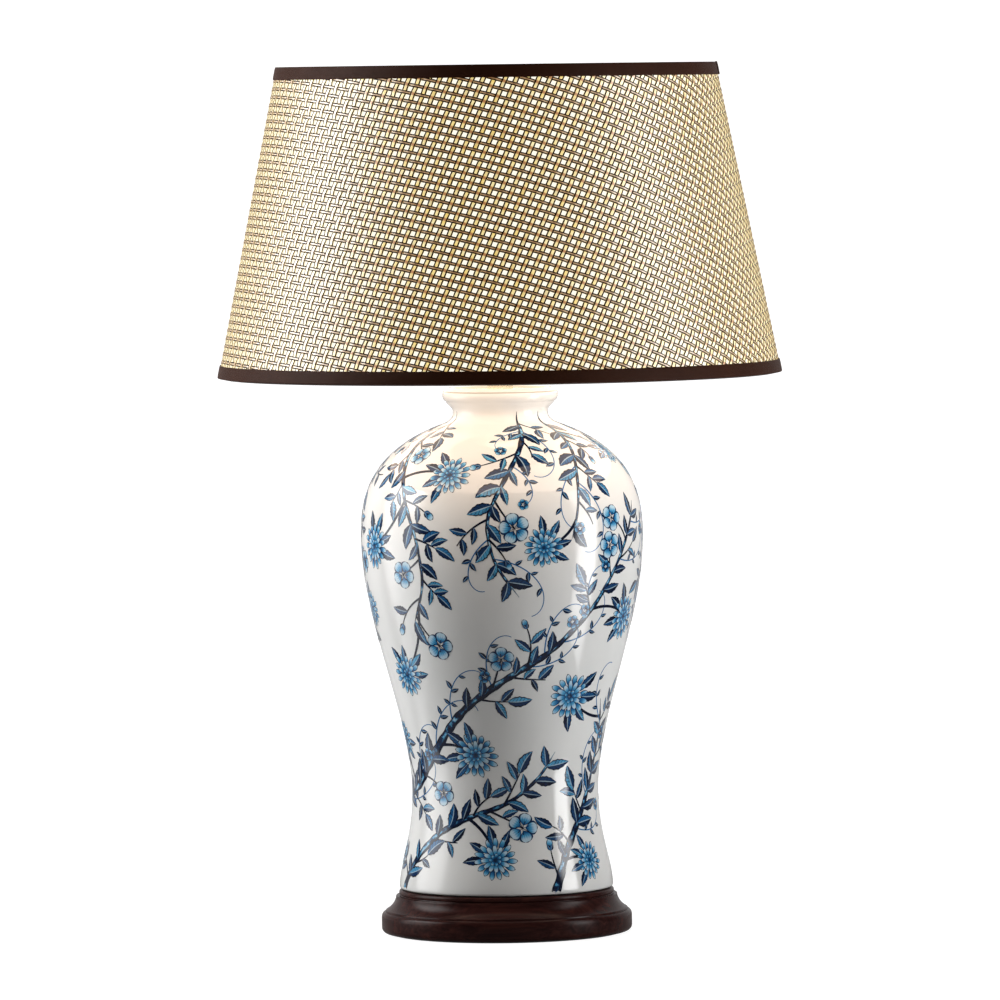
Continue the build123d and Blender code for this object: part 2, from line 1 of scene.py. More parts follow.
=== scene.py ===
# %% [markdown]
# # A lit table lamp: painted vase, turned plinth, woven shade
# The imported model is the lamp's skeleton. It holds every piece at its real size, and this lesson dresses it.
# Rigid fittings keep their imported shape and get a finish. The vase, the plinth, the felt, the tapes and the
# woven cover are modelled again here, because light on glaze, polish and cane shows every facet.

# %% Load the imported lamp
import math
import random

import bpy
import numpy as np
from mathutils import Matrix, Vector
from mathutils.geometry import interpolate_bezier


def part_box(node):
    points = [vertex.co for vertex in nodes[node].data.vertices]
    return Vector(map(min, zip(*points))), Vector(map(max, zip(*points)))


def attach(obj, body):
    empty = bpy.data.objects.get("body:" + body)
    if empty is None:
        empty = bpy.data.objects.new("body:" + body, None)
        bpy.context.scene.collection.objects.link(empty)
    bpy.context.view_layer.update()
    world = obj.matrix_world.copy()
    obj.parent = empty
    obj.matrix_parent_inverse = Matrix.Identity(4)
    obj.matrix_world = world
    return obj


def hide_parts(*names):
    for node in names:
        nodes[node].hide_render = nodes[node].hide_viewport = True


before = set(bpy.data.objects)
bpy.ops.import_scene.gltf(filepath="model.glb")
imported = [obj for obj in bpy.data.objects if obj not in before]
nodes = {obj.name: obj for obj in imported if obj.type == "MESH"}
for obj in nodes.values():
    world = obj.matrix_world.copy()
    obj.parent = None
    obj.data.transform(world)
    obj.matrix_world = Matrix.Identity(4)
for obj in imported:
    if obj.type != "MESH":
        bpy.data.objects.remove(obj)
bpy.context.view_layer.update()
MM = 0.001

# %% [markdown]
# ## Camera
# The lamp was photographed with a long lens from about the height of its shade, so the camera stands
# seven metres away and looks slightly down. The photo leans by three quarters of a degree, which is a roll.

# %% Camera
IMAGE_PX = 1000.0
PIXEL_MM = 0.81
FOCAL_PX = 8600.0
AIM = Vector((-1.2, 0.0, 351.0)) * MM
TILT = math.radians(2.81)
ROLL = math.radians(0.75)
SENSOR_MM = 36.0

camera_data = bpy.data.cameras.new("camera")
camera_data.sensor_width = SENSOR_MM
camera_data.lens = SENSOR_MM * FOCAL_PX / IMAGE_PX
camera_data.clip_end = 50.0
camera = bpy.data.objects.new("camera", camera_data)
bpy.context.scene.collection.objects.link(camera)
looking = Vector((0.0, math.cos(TILT), -math.sin(TILT)))
camera.location = AIM - looking * (FOCAL_PX * PIXEL_MM * MM)
upright = looking.to_track_quat("-Z", "Y").to_matrix()
camera.rotation_euler = (upright @ Matrix.Rotation(-ROLL, 3, "Z")).to_euler()
bpy.context.scene.camera = camera
bpy.context.scene.view_settings.view_transform = "Standard"
print("camera at", [round(v, 3) for v in camera.location], "lens", camera_data.lens)

# %% [markdown]
# ## Tools for finishes
# A finish is a Principled shader and the nodes that feed it. By hand, each node is picked from a menu and
# wired up with the mouse. Each of these tools adds one node and wires it, so a finish reads like a recipe.


# %% Tools: nodes and numbers
def fill(node, values):
    """Set plain values on a node's inputs. A _ in a name stands for a space."""
    for socket, value in values.items():
        node.inputs[socket.replace("_", " ")].default_value = value
    return node


def finish(name, **values):
    """A new material with its Principled shader's plain sockets set."""
    made = bpy.data.materials.new(name)
    made.use_nodes = True
    shader = fill(made.node_tree.nodes["Principled BSDF"], values)
    return made, made.node_tree, shader


def add_node(tree, kind, settings=None, **values):
    """A shader node with settings on the node and values on its inputs."""
    made = tree.nodes.new("ShaderNode" + kind)
    for key, value in (settings or {}).items():
        setattr(made, key, value)
    return fill(made, values)


def feed(tree, value, target):
    """Give an input a number, a colour, or what another node puts out."""
    if isinstance(value, (int, float)):
        target.default_value = value
    elif isinstance(value, tuple):
        target.default_value = (*value, 1.0)
    else:
        tree.links.new(value, target)


def maths(tree, operation, *values):
    """A Math node on sockets or numbers."""
    made = add_node(tree, "Math", {"operation": operation})
    for value, target in zip(values, made.inputs):
        feed(tree, value, target)
    return made.outputs[0]


def smooth_step(tree, value, low, high):
    """From 0 at low to 1 at high, with a soft start and a soft end."""
    made = add_node(tree, "MapRange", {"interpolation_type": "SMOOTHSTEP"})
    for socket, given in (("Value", value), ("From Min", low), ("From Max", high)):
        feed(tree, given, made.inputs[socket])
    return made.outputs["Result"]


# %% Tools: places and pieces
def split(tree, vector):
    """The X, Y and Z of a vector."""
    parts = add_node(tree, "SeparateXYZ")
    tree.links.new(vector, parts.inputs["Vector"])
    return parts.outputs


def uv_parts(tree, name):
    """The two parts of a UV map."""
    parts = split(tree, add_node(tree, "UVMap", {"uv_map": name}).outputs["UV"])
    return parts["X"], parts["Y"]


def from_middle_of(tree, value):
    """0 in the middle of a UV map, and 1 at its two edges."""
    return maths(tree, "ABSOLUTE", maths(tree, "MULTIPLY_ADD", value, 2.0, -1.0))


def wear(piece, material):
    """Give a piece its finish."""
    piece.data.materials.clear()
    piece.data.materials.append(material)
    print(piece.name, "wears", material.name)


def deselect_all():
    if bpy.context.object and bpy.context.object.mode != "OBJECT":
        bpy.ops.object.mode_set(mode="OBJECT")
    bpy.ops.object.select_all(action="DESELECT")


def flat_sheet(name, size, place=(0, 0, 0), rotation=(0, 0, 0)):
    """A flat sheet of a width and a depth in metres, with its place in its mesh."""
    deselect_all()
    bpy.ops.mesh.primitive_plane_add(size=1.0, location=place, rotation=rotation)
    sheet = bpy.context.object
    sheet.name = name
    sheet.scale = (*size, 1.0)
    bpy.ops.object.transform_apply(location=True, rotation=True, scale=True)
    return sheet


# %% [markdown]
# ## Light
# Two tall soft boxes stand at the lamp's sides. They give the two upright highlights on the glaze and
# leave the middle of the lamp in its own light. The left one is stronger at its top, and whitens the cane.
# A real soft box is brightest in its middle and fades to its edges, so each one here is a sheet of cloth
# that glows by its UV map. It reaches below the table, and so lights the underside of the belly too.

# %% Soft boxes
FULL_ACROSS, FULL_UP = 0.45, 0.40  # shares of the half width and half height that glow in full
TOP_BEGINS, TOP_FULL = 0.42, 0.62  # where up the cloth the gain begins, and where it is whole
SOFT_BOXES = {
    # name: (azimuth in degrees from the camera's side, distance, width, height and
    # height of the middle in m, level of its light, gain at the top)
    "soft_left": (-92.0, 2.2, 2.1, 4.0, 0.8, 3.3, 1.5),
    "soft_right": (72.5, 2.2, 1.05, 4.0, 0.6, 8.6, -0.45),
}

for name, (azimuth, distance, width, tall, middle, level, gain) in SOFT_BOXES.items():
    turn = math.radians(azimuth)
    place = (distance * math.sin(turn), -distance * math.cos(turn), middle)
    sheet = flat_sheet(name, (width, tall), place, (math.pi / 2, 0, turn))
    cloth, tree, shader = finish(
        name + "_cloth", Base_Color=(0, 0, 0, 1), Specular_IOR_Level=0.0, Emission_Strength=level
    )
    across, up = uv_parts(tree, sheet.data.uv_layers[0].name)
    fade_across = smooth_step(tree, from_middle_of(tree, across), 1.0, FULL_ACROSS)
    fade_up = smooth_step(tree, from_middle_of(tree, up), 1.0, FULL_UP)
    fade = maths(tree, "MULTIPLY", fade_across, fade_up)
    stronger = maths(tree, "MULTIPLY_ADD", smooth_step(tree, up, TOP_BEGINS, TOP_FULL), gain, 1.0)
    tree.links.new(maths(tree, "MULTIPLY", fade, stronger), shader.inputs["Emission Color"])
    wear(sheet, cloth)
    sheet.visible_camera = False
    print(name, "at", [round(v, 2) for v in place])

# %% [markdown]
# ## Background
# The lamp stands on a narrow table in front of a backdrop. Both look white to the camera and pale in
# reflections, but give the lamp much less light, as a dim studio does. The table keeps the shadow. From
# behind or below they are clear, so the lamp can be looked at from every side.

# %% World, table and backdrop
ROOM_LIGHT, ROOM_SHINE = 0.03, 0.05  # the room's own level, and what reflections see on top of it
TABLE_SIZE = (0.98, 2.2)
BACKDROP_SIZE, BACKDROP_Y = (9.0, 9.0), 3.2

world = bpy.data.worlds.new("studio")
bpy.context.scene.world = world
world.use_nodes = True
room = world.node_tree.nodes["Background"]
room.inputs["Color"].default_value = (1.0, 1.0, 1.0, 1.0)
room_ray = add_node(world.node_tree, "LightPath").outputs
dim = maths(world.node_tree, "MULTIPLY_ADD", room_ray["Is Glossy Ray"], ROOM_SHINE, ROOM_LIGHT)
room_level = maths(world.node_tree, "MAXIMUM", room_ray["Is Camera Ray"], dim)
world.node_tree.links.new(room_level, room.inputs["Strength"])


def white_in_photo(name, grey, seen, mirrored, given):
    """Paint that looks white in the photo, but gives the room only a little light."""
    colour = (grey, grey, grey, 1.0)
    made, tree, shader = finish(name, Base_Color=colour, Roughness=0.9, Specular_IOR_Level=0.0)
    ray = add_node(tree, "LightPath").outputs
    shiny = maths(tree, "MAXIMUM", ray["Is Glossy Ray"], ray["Is Transmission Ray"])
    level = maths(tree, "MULTIPLY_ADD", ray["Is Camera Ray"], seen - given, given)
    level = maths(tree, "MULTIPLY_ADD", shiny, mirrored - given, level)
    glow = add_node(tree, "Emission", Color=(1.0, 1.0, 1.0, 1.0))
    tree.links.new(level, glow.inputs["Strength"])
    both = add_node(tree, "AddShader")
    tree.links.new(shader.outputs[0], both.inputs[0])
    tree.links.new(glow.outputs[0], both.inputs[1])
    behind = add_node(tree, "NewGeometry").outputs["Backfacing"]
    one_way = add_node(tree, "MixShader")
    tree.links.new(maths(tree, "MULTIPLY", ray["Is Camera Ray"], behind), one_way.inputs["Fac"])
    tree.links.new(both.outputs[0], one_way.inputs[1])
    tree.links.new(add_node(tree, "BsdfTransparent").outputs[0], one_way.inputs[2])
    tree.links.new(one_way.outputs[0], tree.nodes["Material Output"].inputs["Surface"])
    return made


floor = flat_sheet("table", TABLE_SIZE)
wear(floor, white_in_photo("table_paint", grey=0.25, seen=0.94, mirrored=0.12, given=0.0))
backdrop = flat_sheet("backdrop", BACKDROP_SIZE, (0, BACKDROP_Y, 0), (math.pi / 2, 0, 0))
wear(backdrop, white_in_photo("backdrop_paint", grey=0.45, seen=1.0, mirrored=0.36, given=0.30))

# %% [markdown]
# ## A small lathe
# Operators act on whatever is selected, so each step starts from an empty selection. A turned piece is
# made as on a lathe: a ring of vertices is laid along the outline of the wall, and spun about the axis.

# %% Lathe
MERGE = 1e-6  # in metres: vertices that are nearer to each other than this are one


def pick(piece):
    deselect_all()
    piece.select_set(True)
    bpy.context.view_layer.objects.active = piece


def point_outwards(piece, merge=False):
    """Point all faces outwards, once the doubles that a spin leaves are merged."""
    pick(piece)
    bpy.ops.object.mode_set(mode="EDIT")
    bpy.ops.mesh.select_all(action="SELECT")
    if merge:
        bpy.ops.mesh.remove_doubles(threshold=MERGE)
        bpy.ops.mesh.dissolve_degenerate(threshold=MERGE)
        bpy.ops.mesh.select_all(action="SELECT")
    bpy.ops.mesh.normals_make_consistent(inside=False)
    bpy.ops.object.mode_set(mode="OBJECT")


def lathe(name, outline, steps=192, start=0.0, turn=2 * math.pi):
    """Spin a closed outline of (radius, height) in mm about the lamp's axis, clockwise from above."""
    deselect_all()
    bpy.ops.mesh.primitive_circle_add(vertices=len(outline), radius=1.0)
    piece = bpy.context.object
    piece.name = piece.data.name = name
    for vertex, (radius, height) in zip(piece.data.vertices, outline):
        place = (radius * math.cos(start), radius * math.sin(start), height)
        vertex.co = Vector(place) * MM
    bpy.ops.object.mode_set(mode="EDIT")
    bpy.ops.mesh.select_all(action="SELECT")
    if turn < 2 * math.pi:
        bpy.ops.mesh.edge_face_add()
    bpy.ops.mesh.spin(steps=steps, angle=turn, center=(0, 0, 0), axis=(0, 0, 1))
    bpy.ops.object.mode_set(mode="OBJECT")
    point_outwards(piece, merge=True)
    bpy.ops.object.shade_smooth_by_angle(angle=math.radians(40))
    print(name, "faces", len(piece.data.polygons))
    return piece


# %% Outlines
def bezier_path(start, *stretches):
    """Points along Bezier stretches of (handle, handle, end, count), without the very last point."""
    points = []
    for handle, other_handle, end, count in stretches:
        ends = [Vector((*p, 0)) for p in (start, handle, other_handle, end)]
        points += [(p.x, p.y) for p in interpolate_bezier(*ends, count + 1)][:-1]
        start = end
    return points


def arc(centre, radius, first, last, count):
    """Points round an arc, in degrees."""
    turns = [math.radians(first + (last - first) * i / count) for i in range(count + 1)]
    return [(centre[0] + radius * math.cos(t), centre[1] + radius * math.sin(t)) for t in turns]


# %% [markdown]
# ## Vase
# The vase is slip-cast ceramic under a clear, slightly wavy glaze. The outline below is the one the packed
# vase was turned from, drawn again with finer steps, so that the highlights run without a break.

# %% Vase
FOOT_R, WAIST_R, BELLY_R, NECK_R, LIP_R = 86.6, 75.5, 114.1, 38.4, 47.2
WAIST_Z, BELLY_Z, NECK_Z = 115.0, 324.0, 422.5
WALL, FLOOR_T, PIPE_HOLE_R = 6.0, 9.0, 6.0
LEDGE_Z, LIP_TOP = 439.0, 442.5
RISE = BELLY_Z - WAIST_Z
NECK_IN, BELLY_IN, LEDGE_IN = NECK_R - WALL, BELLY_R - WALL, LIP_R - 9.4
vase_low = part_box("vase")[0].z / MM

# From the foot to the waist, the belly, the shoulder, the neck, the hollow under the lip and the lip.
glazed_side = arc((FOOT_R - 2.0, vase_low + 2.0), 2.0, -90, 0, 5)[:-1] + bezier_path(
    (FOOT_R, vase_low + 2.0),
    ((FOOT_R - 1.0, vase_low + 23.0), (WAIST_R, WAIST_Z - 37.0), (WAIST_R, WAIST_Z), 22),
    ((WAIST_R, WAIST_Z + 0.295 * RISE), (BELLY_R, BELLY_Z - 0.344 * RISE), (BELLY_R, BELLY_Z), 40),
    ((BELLY_R, BELLY_Z + 24.5), (NECK_R + 72.5, NECK_Z - 31.3), (NECK_R + 8.1, NECK_Z - 9.0), 36),
    ((NECK_R + 2.0, NECK_Z - 6.9), (NECK_R, NECK_Z - 4.0), (NECK_R, NECK_Z), 10),
    ((NECK_R, NECK_Z + 4.5), (LIP_R - 4.6, NECK_Z + 5.5), (LIP_R - 3.0, NECK_Z + 9.0), 10),
    ((LIP_R + 1.3, NECK_Z + 11.0), (LIP_R + 0.8, LIP_TOP), (LIP_R - 6.7, LIP_TOP), 16),
)
# From the lip down to the ledge for the cap, the neck, the belly and the floor.
inner_side = (
    bezier_path(
        (LIP_R - 6.7, LIP_TOP),
        ((LIP_R - 8.4, LIP_TOP), (LEDGE_IN, LIP_TOP - 1.4), (LEDGE_IN, LEDGE_Z), 6),
    )
    + [(LEDGE_IN, LEDGE_Z)]
    + arc((NECK_IN + 2.0, LEDGE_Z - 2.0), 2.0, 90, 180, 5)
    + bezier_path(
        (NECK_IN, NECK_Z - 8.0),
        ((NECK_IN + 39.0, NECK_Z - 28.0), (BELLY_IN, BELLY_Z + 65.0), (BELLY_IN, BELLY_Z), 12),
    )
    + [(BELLY_IN, BELLY_Z), (WAIST_R - WALL, WAIST_Z), (FOOT_R - WALL - 2.0, vase_low + FLOOR_T)]
    + [(PIPE_HOLE_R, vase_low + FLOOR_T), (PIPE_HOLE_R, vase_low)]
)
vase = lathe("vase_glazed", glazed_side + inner_side, steps=256)
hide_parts("vase")
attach(vase, "base")

# %% [markdown]
# ## Shared effects
# What several finishes need is built once as a node group and placed in each with its own values. A mottle
# is an even noise, for clouds in a glaze or fuzz on felt. Streaks are the same noise drawn out one way, for
# the grain of wood or the marks that a tool leaves on turned metal.

# %% Mottle and streaks
NOISE_SOCKETS = ("Scale", "Detail", "Roughness", "Distortion")


def new_group(name, inputs, outputs):
    """A node group with named sockets, with what is given to it and what it puts out."""
    made = bpy.data.node_groups.new(name, "ShaderNodeTree")
    for direction, sockets in (("INPUT", inputs), ("OUTPUT", outputs)):
        for socket, kind in sockets.items():
            made.interface.new_socket(socket, in_out=direction, socket_type="NodeSocket" + kind)
    print("node group", name, "makes", list(outputs), "from", list(inputs))
    return made, made.nodes.new("NodeGroupInput").outputs, made.nodes.new("NodeGroupOutput").inputs


def place_group(tree, group, **values):
    """A node group in a finish, with its own values."""
    return fill(add_node(tree, "Group", {"node_tree": group}), values)


mottle, given, put_out = new_group("mottle", {"Scale": "Float", "Detail": "Float"}, {"Mask": "Float"})
noise = add_node(mottle, "TexNoise")
mottle.links.new(add_node(mottle, "TexCoord").outputs["Object"], noise.inputs["Vector"])
for socket in NOISE_SOCKETS[:2]:
    mottle.links.new(given[socket], noise.inputs[socket])
mottle.links.new(noise.outputs["Fac"], put_out["Mask"])

streak_inputs = {"Stretch": "Vector", **{socket: "Float" for socket in NOISE_SOCKETS}}
streaks, given, put_out = new_group("streaks", streak_inputs, {"Mask": "Float"})
noise = add_node(streaks, "TexNoise")
stretch = add_node(streaks, "Mapping")
streaks.links.new(add_node(streaks, "TexCoord").outputs["Object"], stretch.inputs["Vector"])
streaks.links.new(given["Stretch"], stretch.inputs["Scale"])
streaks.links.new(stretch.outputs["Vector"], noise.inputs["Vector"])
for socket in NOISE_SOCKETS:
    streaks.links.new(given[socket], noise.inputs[socket])
streaks.links.new(noise.outputs["Fac"], put_out["Mask"])


# %% Tools: colours and bumps
def mottled(tree, scale, detail):
    return place_group(tree, mottle, Scale=scale, Detail=detail).outputs["Mask"]


def streaked(tree, stretch, scale, detail, roughness=0.5, distortion=0.0):
    made = place_group(
        tree, streaks, Stretch=stretch, Scale=scale, Detail=detail, Roughness=roughness, Distortion=distortion
    )
    return made.outputs["Mask"]


def ramp(tree, factor, *stops):
    """A colour ramp fed by factor, with (place, colour) stops."""
    made = add_node(tree, "ValToRGB")
    while len(made.color_ramp.elements) < len(stops):
        made.color_ramp.elements.new(0.5)
    for element, (place, colour) in zip(made.color_ramp.elements, stops):
        element.position = place
        element.color = (*colour, 1.0)
    tree.links.new(factor, made.inputs["Fac"])
    return made.outputs["Color"]


def mix_colour(tree, factor, first, second):
    """A colour mix of sockets or colours."""
    made = add_node(tree, "Mix", {"data_type": "RGBA"})
    for socket, value in (("Factor", factor), ("A", first), ("B", second)):
        feed(tree, value, next(i for i in made.inputs if i.name == socket and i.enabled))
    return next(o for o in made.outputs if o.enabled)


def bump(tree, shader, height, strength, distance):
    made = add_node(tree, "Bump", Strength=strength, Distance=distance)
    tree.links.new(height, made.inputs["Height"])
    tree.links.new(made.outputs["Normal"], shader.inputs["Normal"])


# %% [markdown]
# ## Glaze
# A white glaze is never one white. Soft clouds change its tone, and its surface waves a little like the peel
# of an orange. A fine dark line painted round the edge of the lip stands in for the reflection of the shade's
# dark bottom tape.

# %% Glaze
LIP_EDGE_Z = 439.4  # where the painted reflection of the shade's dark tape runs round the edge of the lip
EDGE_HALF, EDGE_FADE = 0.25, 0.7  # mm from that edge where the line is full, and where it has faded
GLOSS = {"Roughness": 0.06, "IOR": 1.52}


def orange_peel(tree, shader):
    bump(tree, shader, mottled(tree, 55.0, 2.0), strength=0.05, distance=0.0008)


glaze, tree, shader = finish("white_glaze", **GLOSS)
cloud = mottled(tree, 14.0, 4.0)
shade_of_white = ramp(tree, cloud, (0.3, (0.80, 0.81, 0.80)), (0.7, (0.86, 0.865, 0.855)))
height = split(tree, add_node(tree, "TexCoord").outputs["Object"])["Z"]
from_edge = maths(tree, "ABSOLUTE", maths(tree, "ADD", height, -LIP_EDGE_Z * MM))
# A fine dark line round the lip's edge: a painted reflection of the shade's dark bottom tape.
painted_tape_reflection = smooth_step(tree, from_edge, EDGE_FADE * MM, EDGE_HALF * MM)
glazed = mix_colour(tree, painted_tape_reflection, shade_of_white, (0.40, 0.38, 0.34))
tree.links.new(glazed, shader.inputs["Base Color"])
orange_peel(tree, shader)
wear(vase, glaze)

# %% [markdown]
# ## Painting: a map of the glaze
# The blue painting lies under the glaze. Each stroke is drawn flat, in mm along and across itself, and is
# then laid on the vase by its turn round the axis and by its distance up the wall. A stroke is a thin
# closed skin that sinks into the wall, so it keeps its own colour and the same gloss as the white.

# %% From the flat to the glaze
side = np.array(glazed_side)
climb = np.concatenate([[0.0], np.cumsum(np.hypot(*np.diff(side, axis=0).T))])
along_wall = np.gradient(side, climb, axis=0)


def up_wall(height):
    """Distance up the wall, in mm from the foot, at a height."""
    return np.interp(height, side[:, 1], climb)


def girth(level):
    """The wall's radius at a distance up the wall."""
    return np.interp(level, climb, side[:, 0])


def on_glaze(turn, level, lift):
    """A place on the vase in mm, lifted off the glaze along its normal."""
    radius = girth(level) + lift * np.interp(level, climb, along_wall[:, 1])
    height = np.interp(level, climb, side[:, 1]) - lift * np.interp(level, climb, along_wall[:, 0])
    return np.stack([radius * np.sin(turn), -radius * np.cos(turn), height], axis=-1)


def beside(turn, level, heading, reach):
    """The place that lies a reach in mm from another one, on a heading from the horizontal."""
    return turn + reach * math.cos(heading) / float(girth(level)), level + reach * math.sin(heading)


print("wall from foot to lip", round(float(climb[-1]), 1), "mm")

# %% [markdown]
# ## Painting: strokes
# A leaf and a petal are one small grid, made once. Its columns are squeezed to the width of the stroke and
# bent along it. The grid's own UV map says where the vein, the outline and the paler half go, so a few
# faces carry a fine drawing. What is drawn is kept in a list by kind, and made into one mesh at the end.

# %% The stencil
STENCIL_STEPS = 10
deselect_all()
bpy.ops.mesh.primitive_grid_add(x_subdivisions=STENCIL_STEPS, y_subdivisions=2, size=2.0)
stencil = bpy.context.object
stencil_spots = np.array([v.co[:2] for v in stencil.data.vertices])
stencil_faces = np.array([p.vertices[:] for p in stencil.data.polygons])
bpy.data.objects.remove(stencil, do_unlink=True)
stencil_along = (stencil_spots[:, 0] + 1.0) / 2.0
stencil_across = stencil_spots[:, 1]
print("stencil faces", len(stencil_faces))

# %% Leaves, petals and stems
LIFT = {
    # mm off the glaze: what is painted later lies on what was painted first
    "tendril": 0.09, "bough": 0.10, "head_stem": 0.105, "twig": 0.11, "tendril_leaf": 0.13,
    "head_leaf": 0.14, "bud": 0.17, "blossom": 0.19, "bud_leaf": 0.21, "stamen": 0.27,
}
BLADE_TILT = 0.035  # mm by which one side of a leaf lies higher than its vein
THINNEST = 0.12  # mm, half the width of a leaf at its ends
STROKE_LISTS = ("spots", "faces", "uv", "tone")
strokes = {kind: {"count": 0, **{key: [] for key in STROKE_LISTS}} for kind in ("stem", "leaf", "petal")}


def keep(kind, turn, level, lift, faces, uv, tone):
    """Add one stroke to the lists of its kind."""
    store = strokes[kind]
    spots = on_glaze(turn, level, lift)
    for key, value in zip(STROKE_LISTS, (spots, faces + store["count"], uv, np.full(len(spots), tone))):
        store[key].append(value)
    store["count"] += len(spots)


def leaf_width(along):
    return np.sin(math.pi * along**0.85) ** 0.9


def petal_width(along):
    return np.sin(math.pi * along**1.35) ** 0.62


def blade(kind, turn, level, heading, length, width, lift, tone, bend=0.0, teeth=0.0):
    """A leaf or a petal from its base, with its heading in radians from the horizontal."""
    line = np.linspace(0.0, 1.0, STENCIL_STEPS + 1)
    angles = heading + bend * (line - 0.3)
    x = np.concatenate([[0.0], np.cumsum(np.cos(angles[:-1]))]) * length / STENCIL_STEPS
    y = np.concatenate([[0.0], np.cumsum(np.sin(angles[:-1]))]) * length / STENCIL_STEPS
    shape = leaf_width(line) if kind == "leaf" else petal_width(line)
    notch = 1.0 + teeth * np.where(np.arange(STENCIL_STEPS + 1) % 2, 1.0, -1.0)
    half = np.maximum(width / 2 * shape * notch, THINNEST)
    at = np.rint(stencil_along * STENCIL_STEPS).astype(int)
    offset = stencil_across * half[at]
    spot_x = x[at] - np.sin(angles[at]) * offset
    spot_level = level + (y[at] + np.cos(angles[at]) * offset)
    raised = lift + BLADE_TILT * stencil_across
    uv = np.stack([stencil_along, (stencil_across + 1.0) / 2.0], axis=1)
    keep(kind, turn + spot_x / girth(spot_level), spot_level, raised, stencil_faces, uv, tone)


def ribbon(turns, levels, widths, lift, tone):
    """A stem along a line on the wall, three points wide."""
    radius = girth(levels)
    step_x, step_y = np.gradient(turns) * radius, np.gradient(levels)
    step = np.hypot(step_x, step_y)
    rows = []
    for across in (-0.5, 0.0, 0.5):
        offset = across * widths
        rows.append((turns - step_y / step * offset / radius, levels + step_x / step * offset))
    turn = np.stack([row[0] for row in rows], axis=1).ravel()
    level = np.stack([row[1] for row in rows], axis=1).ravel()
    length = np.concatenate([[0.0], np.cumsum(step[1:])])
    uv = np.stack([np.repeat(length, 3), np.tile([0.0, 0.5, 1.0], len(turns))], axis=1)
    grid = np.arange(len(turns) * 3).reshape(-1, 3)
    near, far = grid[:-1], grid[1:]
    faces = np.concatenate(
        [np.stack([near[:, k], far[:, k], far[:, k + 1], near[:, k + 1]], axis=1) for k in (0, 1)]
    )
    keep("stem", turn, level, np.full(len(turn), lift), faces, uv, tone)


# %% [markdown]
# ## Painting: what grows
# The drawing is a common one on blue-and-white ware: boughs with plum blossom, chrysanthemum heads, lance
# leaves, buds and tendrils. A side of the vase is drawn once and comes again on the other side, as
# printed ware is decorated, and a hanging bough fills the gap between the two. A place that is taken
# stays free of other leaves.

# %% Where there is room
MOST_PLACES = 6000
BARE_FOOT, BARE_TOP = 6.0, 26.0  # mm of the wall that stay bare at its two ends
paint_random = random.Random(11)
taken_spots, taken_sizes = np.zeros((MOST_PLACES, 3)), np.zeros(MOST_PLACES)
taken_count = 0


def is_free(turn, level, radius):
    place = on_glaze(np.array(turn), np.array(level), 0.0)
    gaps = np.linalg.norm(taken_spots[:taken_count] - place, axis=1) - taken_sizes[:taken_count]
    return bool(np.all(gaps > radius))


def take(turn, level, radius):
    global taken_count
    taken_spots[taken_count] = on_glaze(np.array(turn), np.array(level), 0.0)
    taken_sizes[taken_count] = radius
    taken_count += 1


def in_field(level):
    return BARE_FOOT < level < climb[-1] - BARE_TOP


def evenly(share):
    return 1.0


def curling_up(share):
    return 0.35 + 2.0 * share**3


def walk(turn, level, heading, length, bend, steps=10, bending=evenly):
    """A curved line on the wall from a place, as turns, levels and headings."""
    turns, levels, headings = [turn], [level], [heading]
    for k in range(steps):
        turns.append(turns[-1] + math.cos(heading) * length / steps / float(girth(levels[-1])))
        levels.append(levels[-1] + math.sin(heading) * length / steps)
        heading += bend * bending(k / steps) / steps
        headings.append(heading)
    return np.array(turns), np.array(levels), headings


# %% Flowers
PETALS, STAMENS = 5, 7
SMALL_BLOSSOM = 12.0  # mm, under which a blossom has no stamens


def plum_blossom(turn, level, size, tone=0.75):
    start = paint_random.uniform(0, 2 * math.pi)
    for k in range(PETALS):
        angle = start + k * 2 * math.pi / PETALS
        foot = beside(turn, level, angle, 0.10 * size)
        blade("petal", *foot, angle, 0.46 * size, 0.52 * size, LIFT["blossom"], tone)
    if size < SMALL_BLOSSOM:
        return
    for k in range(STAMENS):
        angle = start + 0.4 + k * 2 * math.pi / STAMENS
        turns, levels, _ = walk(turn, level, angle, 0.25 * size, 0.2, 3)
        ribbon(turns, levels, np.array([0.5, 0.35, 0.35, 0.8]), LIFT["stamen"], 0.0)


def chrysanthemum(turn, level, size):
    start = paint_random.uniform(0, 2 * math.pi)
    rings = (
        # (petals, foot, length and width as shares of the size, lift in mm, tone)
        (15, 0.20, 0.31, 0.135, 0.17, 0.30),
        (12, 0.07, 0.28, 0.125, 0.225, 0.66),
        (7, 0.0, 0.15, 0.09, 0.28, 0.15),
    )
    for count, inner, length, width, lift, tone in rings:
        for k in range(count):
            angle = start + lift + k * 2 * math.pi / count
            reach = length * size * paint_random.uniform(0.85, 1.12)
            foot = beside(turn, level, angle, inner * size)
            shade = tone + paint_random.uniform(-0.14, 0.14)
            blade("petal", *foot, angle, reach, width * size, lift, shade, bend=0.25)


def bud(turn, level, heading, size):
    blade("petal", turn, level, heading, size, 0.75 * size * 0.8, LIFT["bud"], 0.45)
    for lean in (0.42, -0.42):
        blade("leaf", turn, level, heading + lean, size * 0.6, 0.42 * size * 0.8, LIFT["bud_leaf"], 0.45)


# %% Leaves, twigs and tendrils
TENDRIL_STEPS = 30


def grown_leaf(turn, level, heading, size):
    """A leaf where there is room for it."""
    turns, levels, _ = walk(turn, level, heading, 0.62 * size, 0.0, 2)
    if not is_free(turns[-1], levels[-1], 0.20 * size) or not in_field(levels[-1]):
        return
    broad = size * paint_random.uniform(0.36, 0.48)
    bend = paint_random.uniform(-0.7, 0.7)
    lift = paint_random.uniform(0.13, 0.16)
    blade("leaf", turn, level, heading, size, broad, lift, paint_random.random(), bend, teeth=0.07)
    take(turns[-1], levels[-1], 0.24 * size)


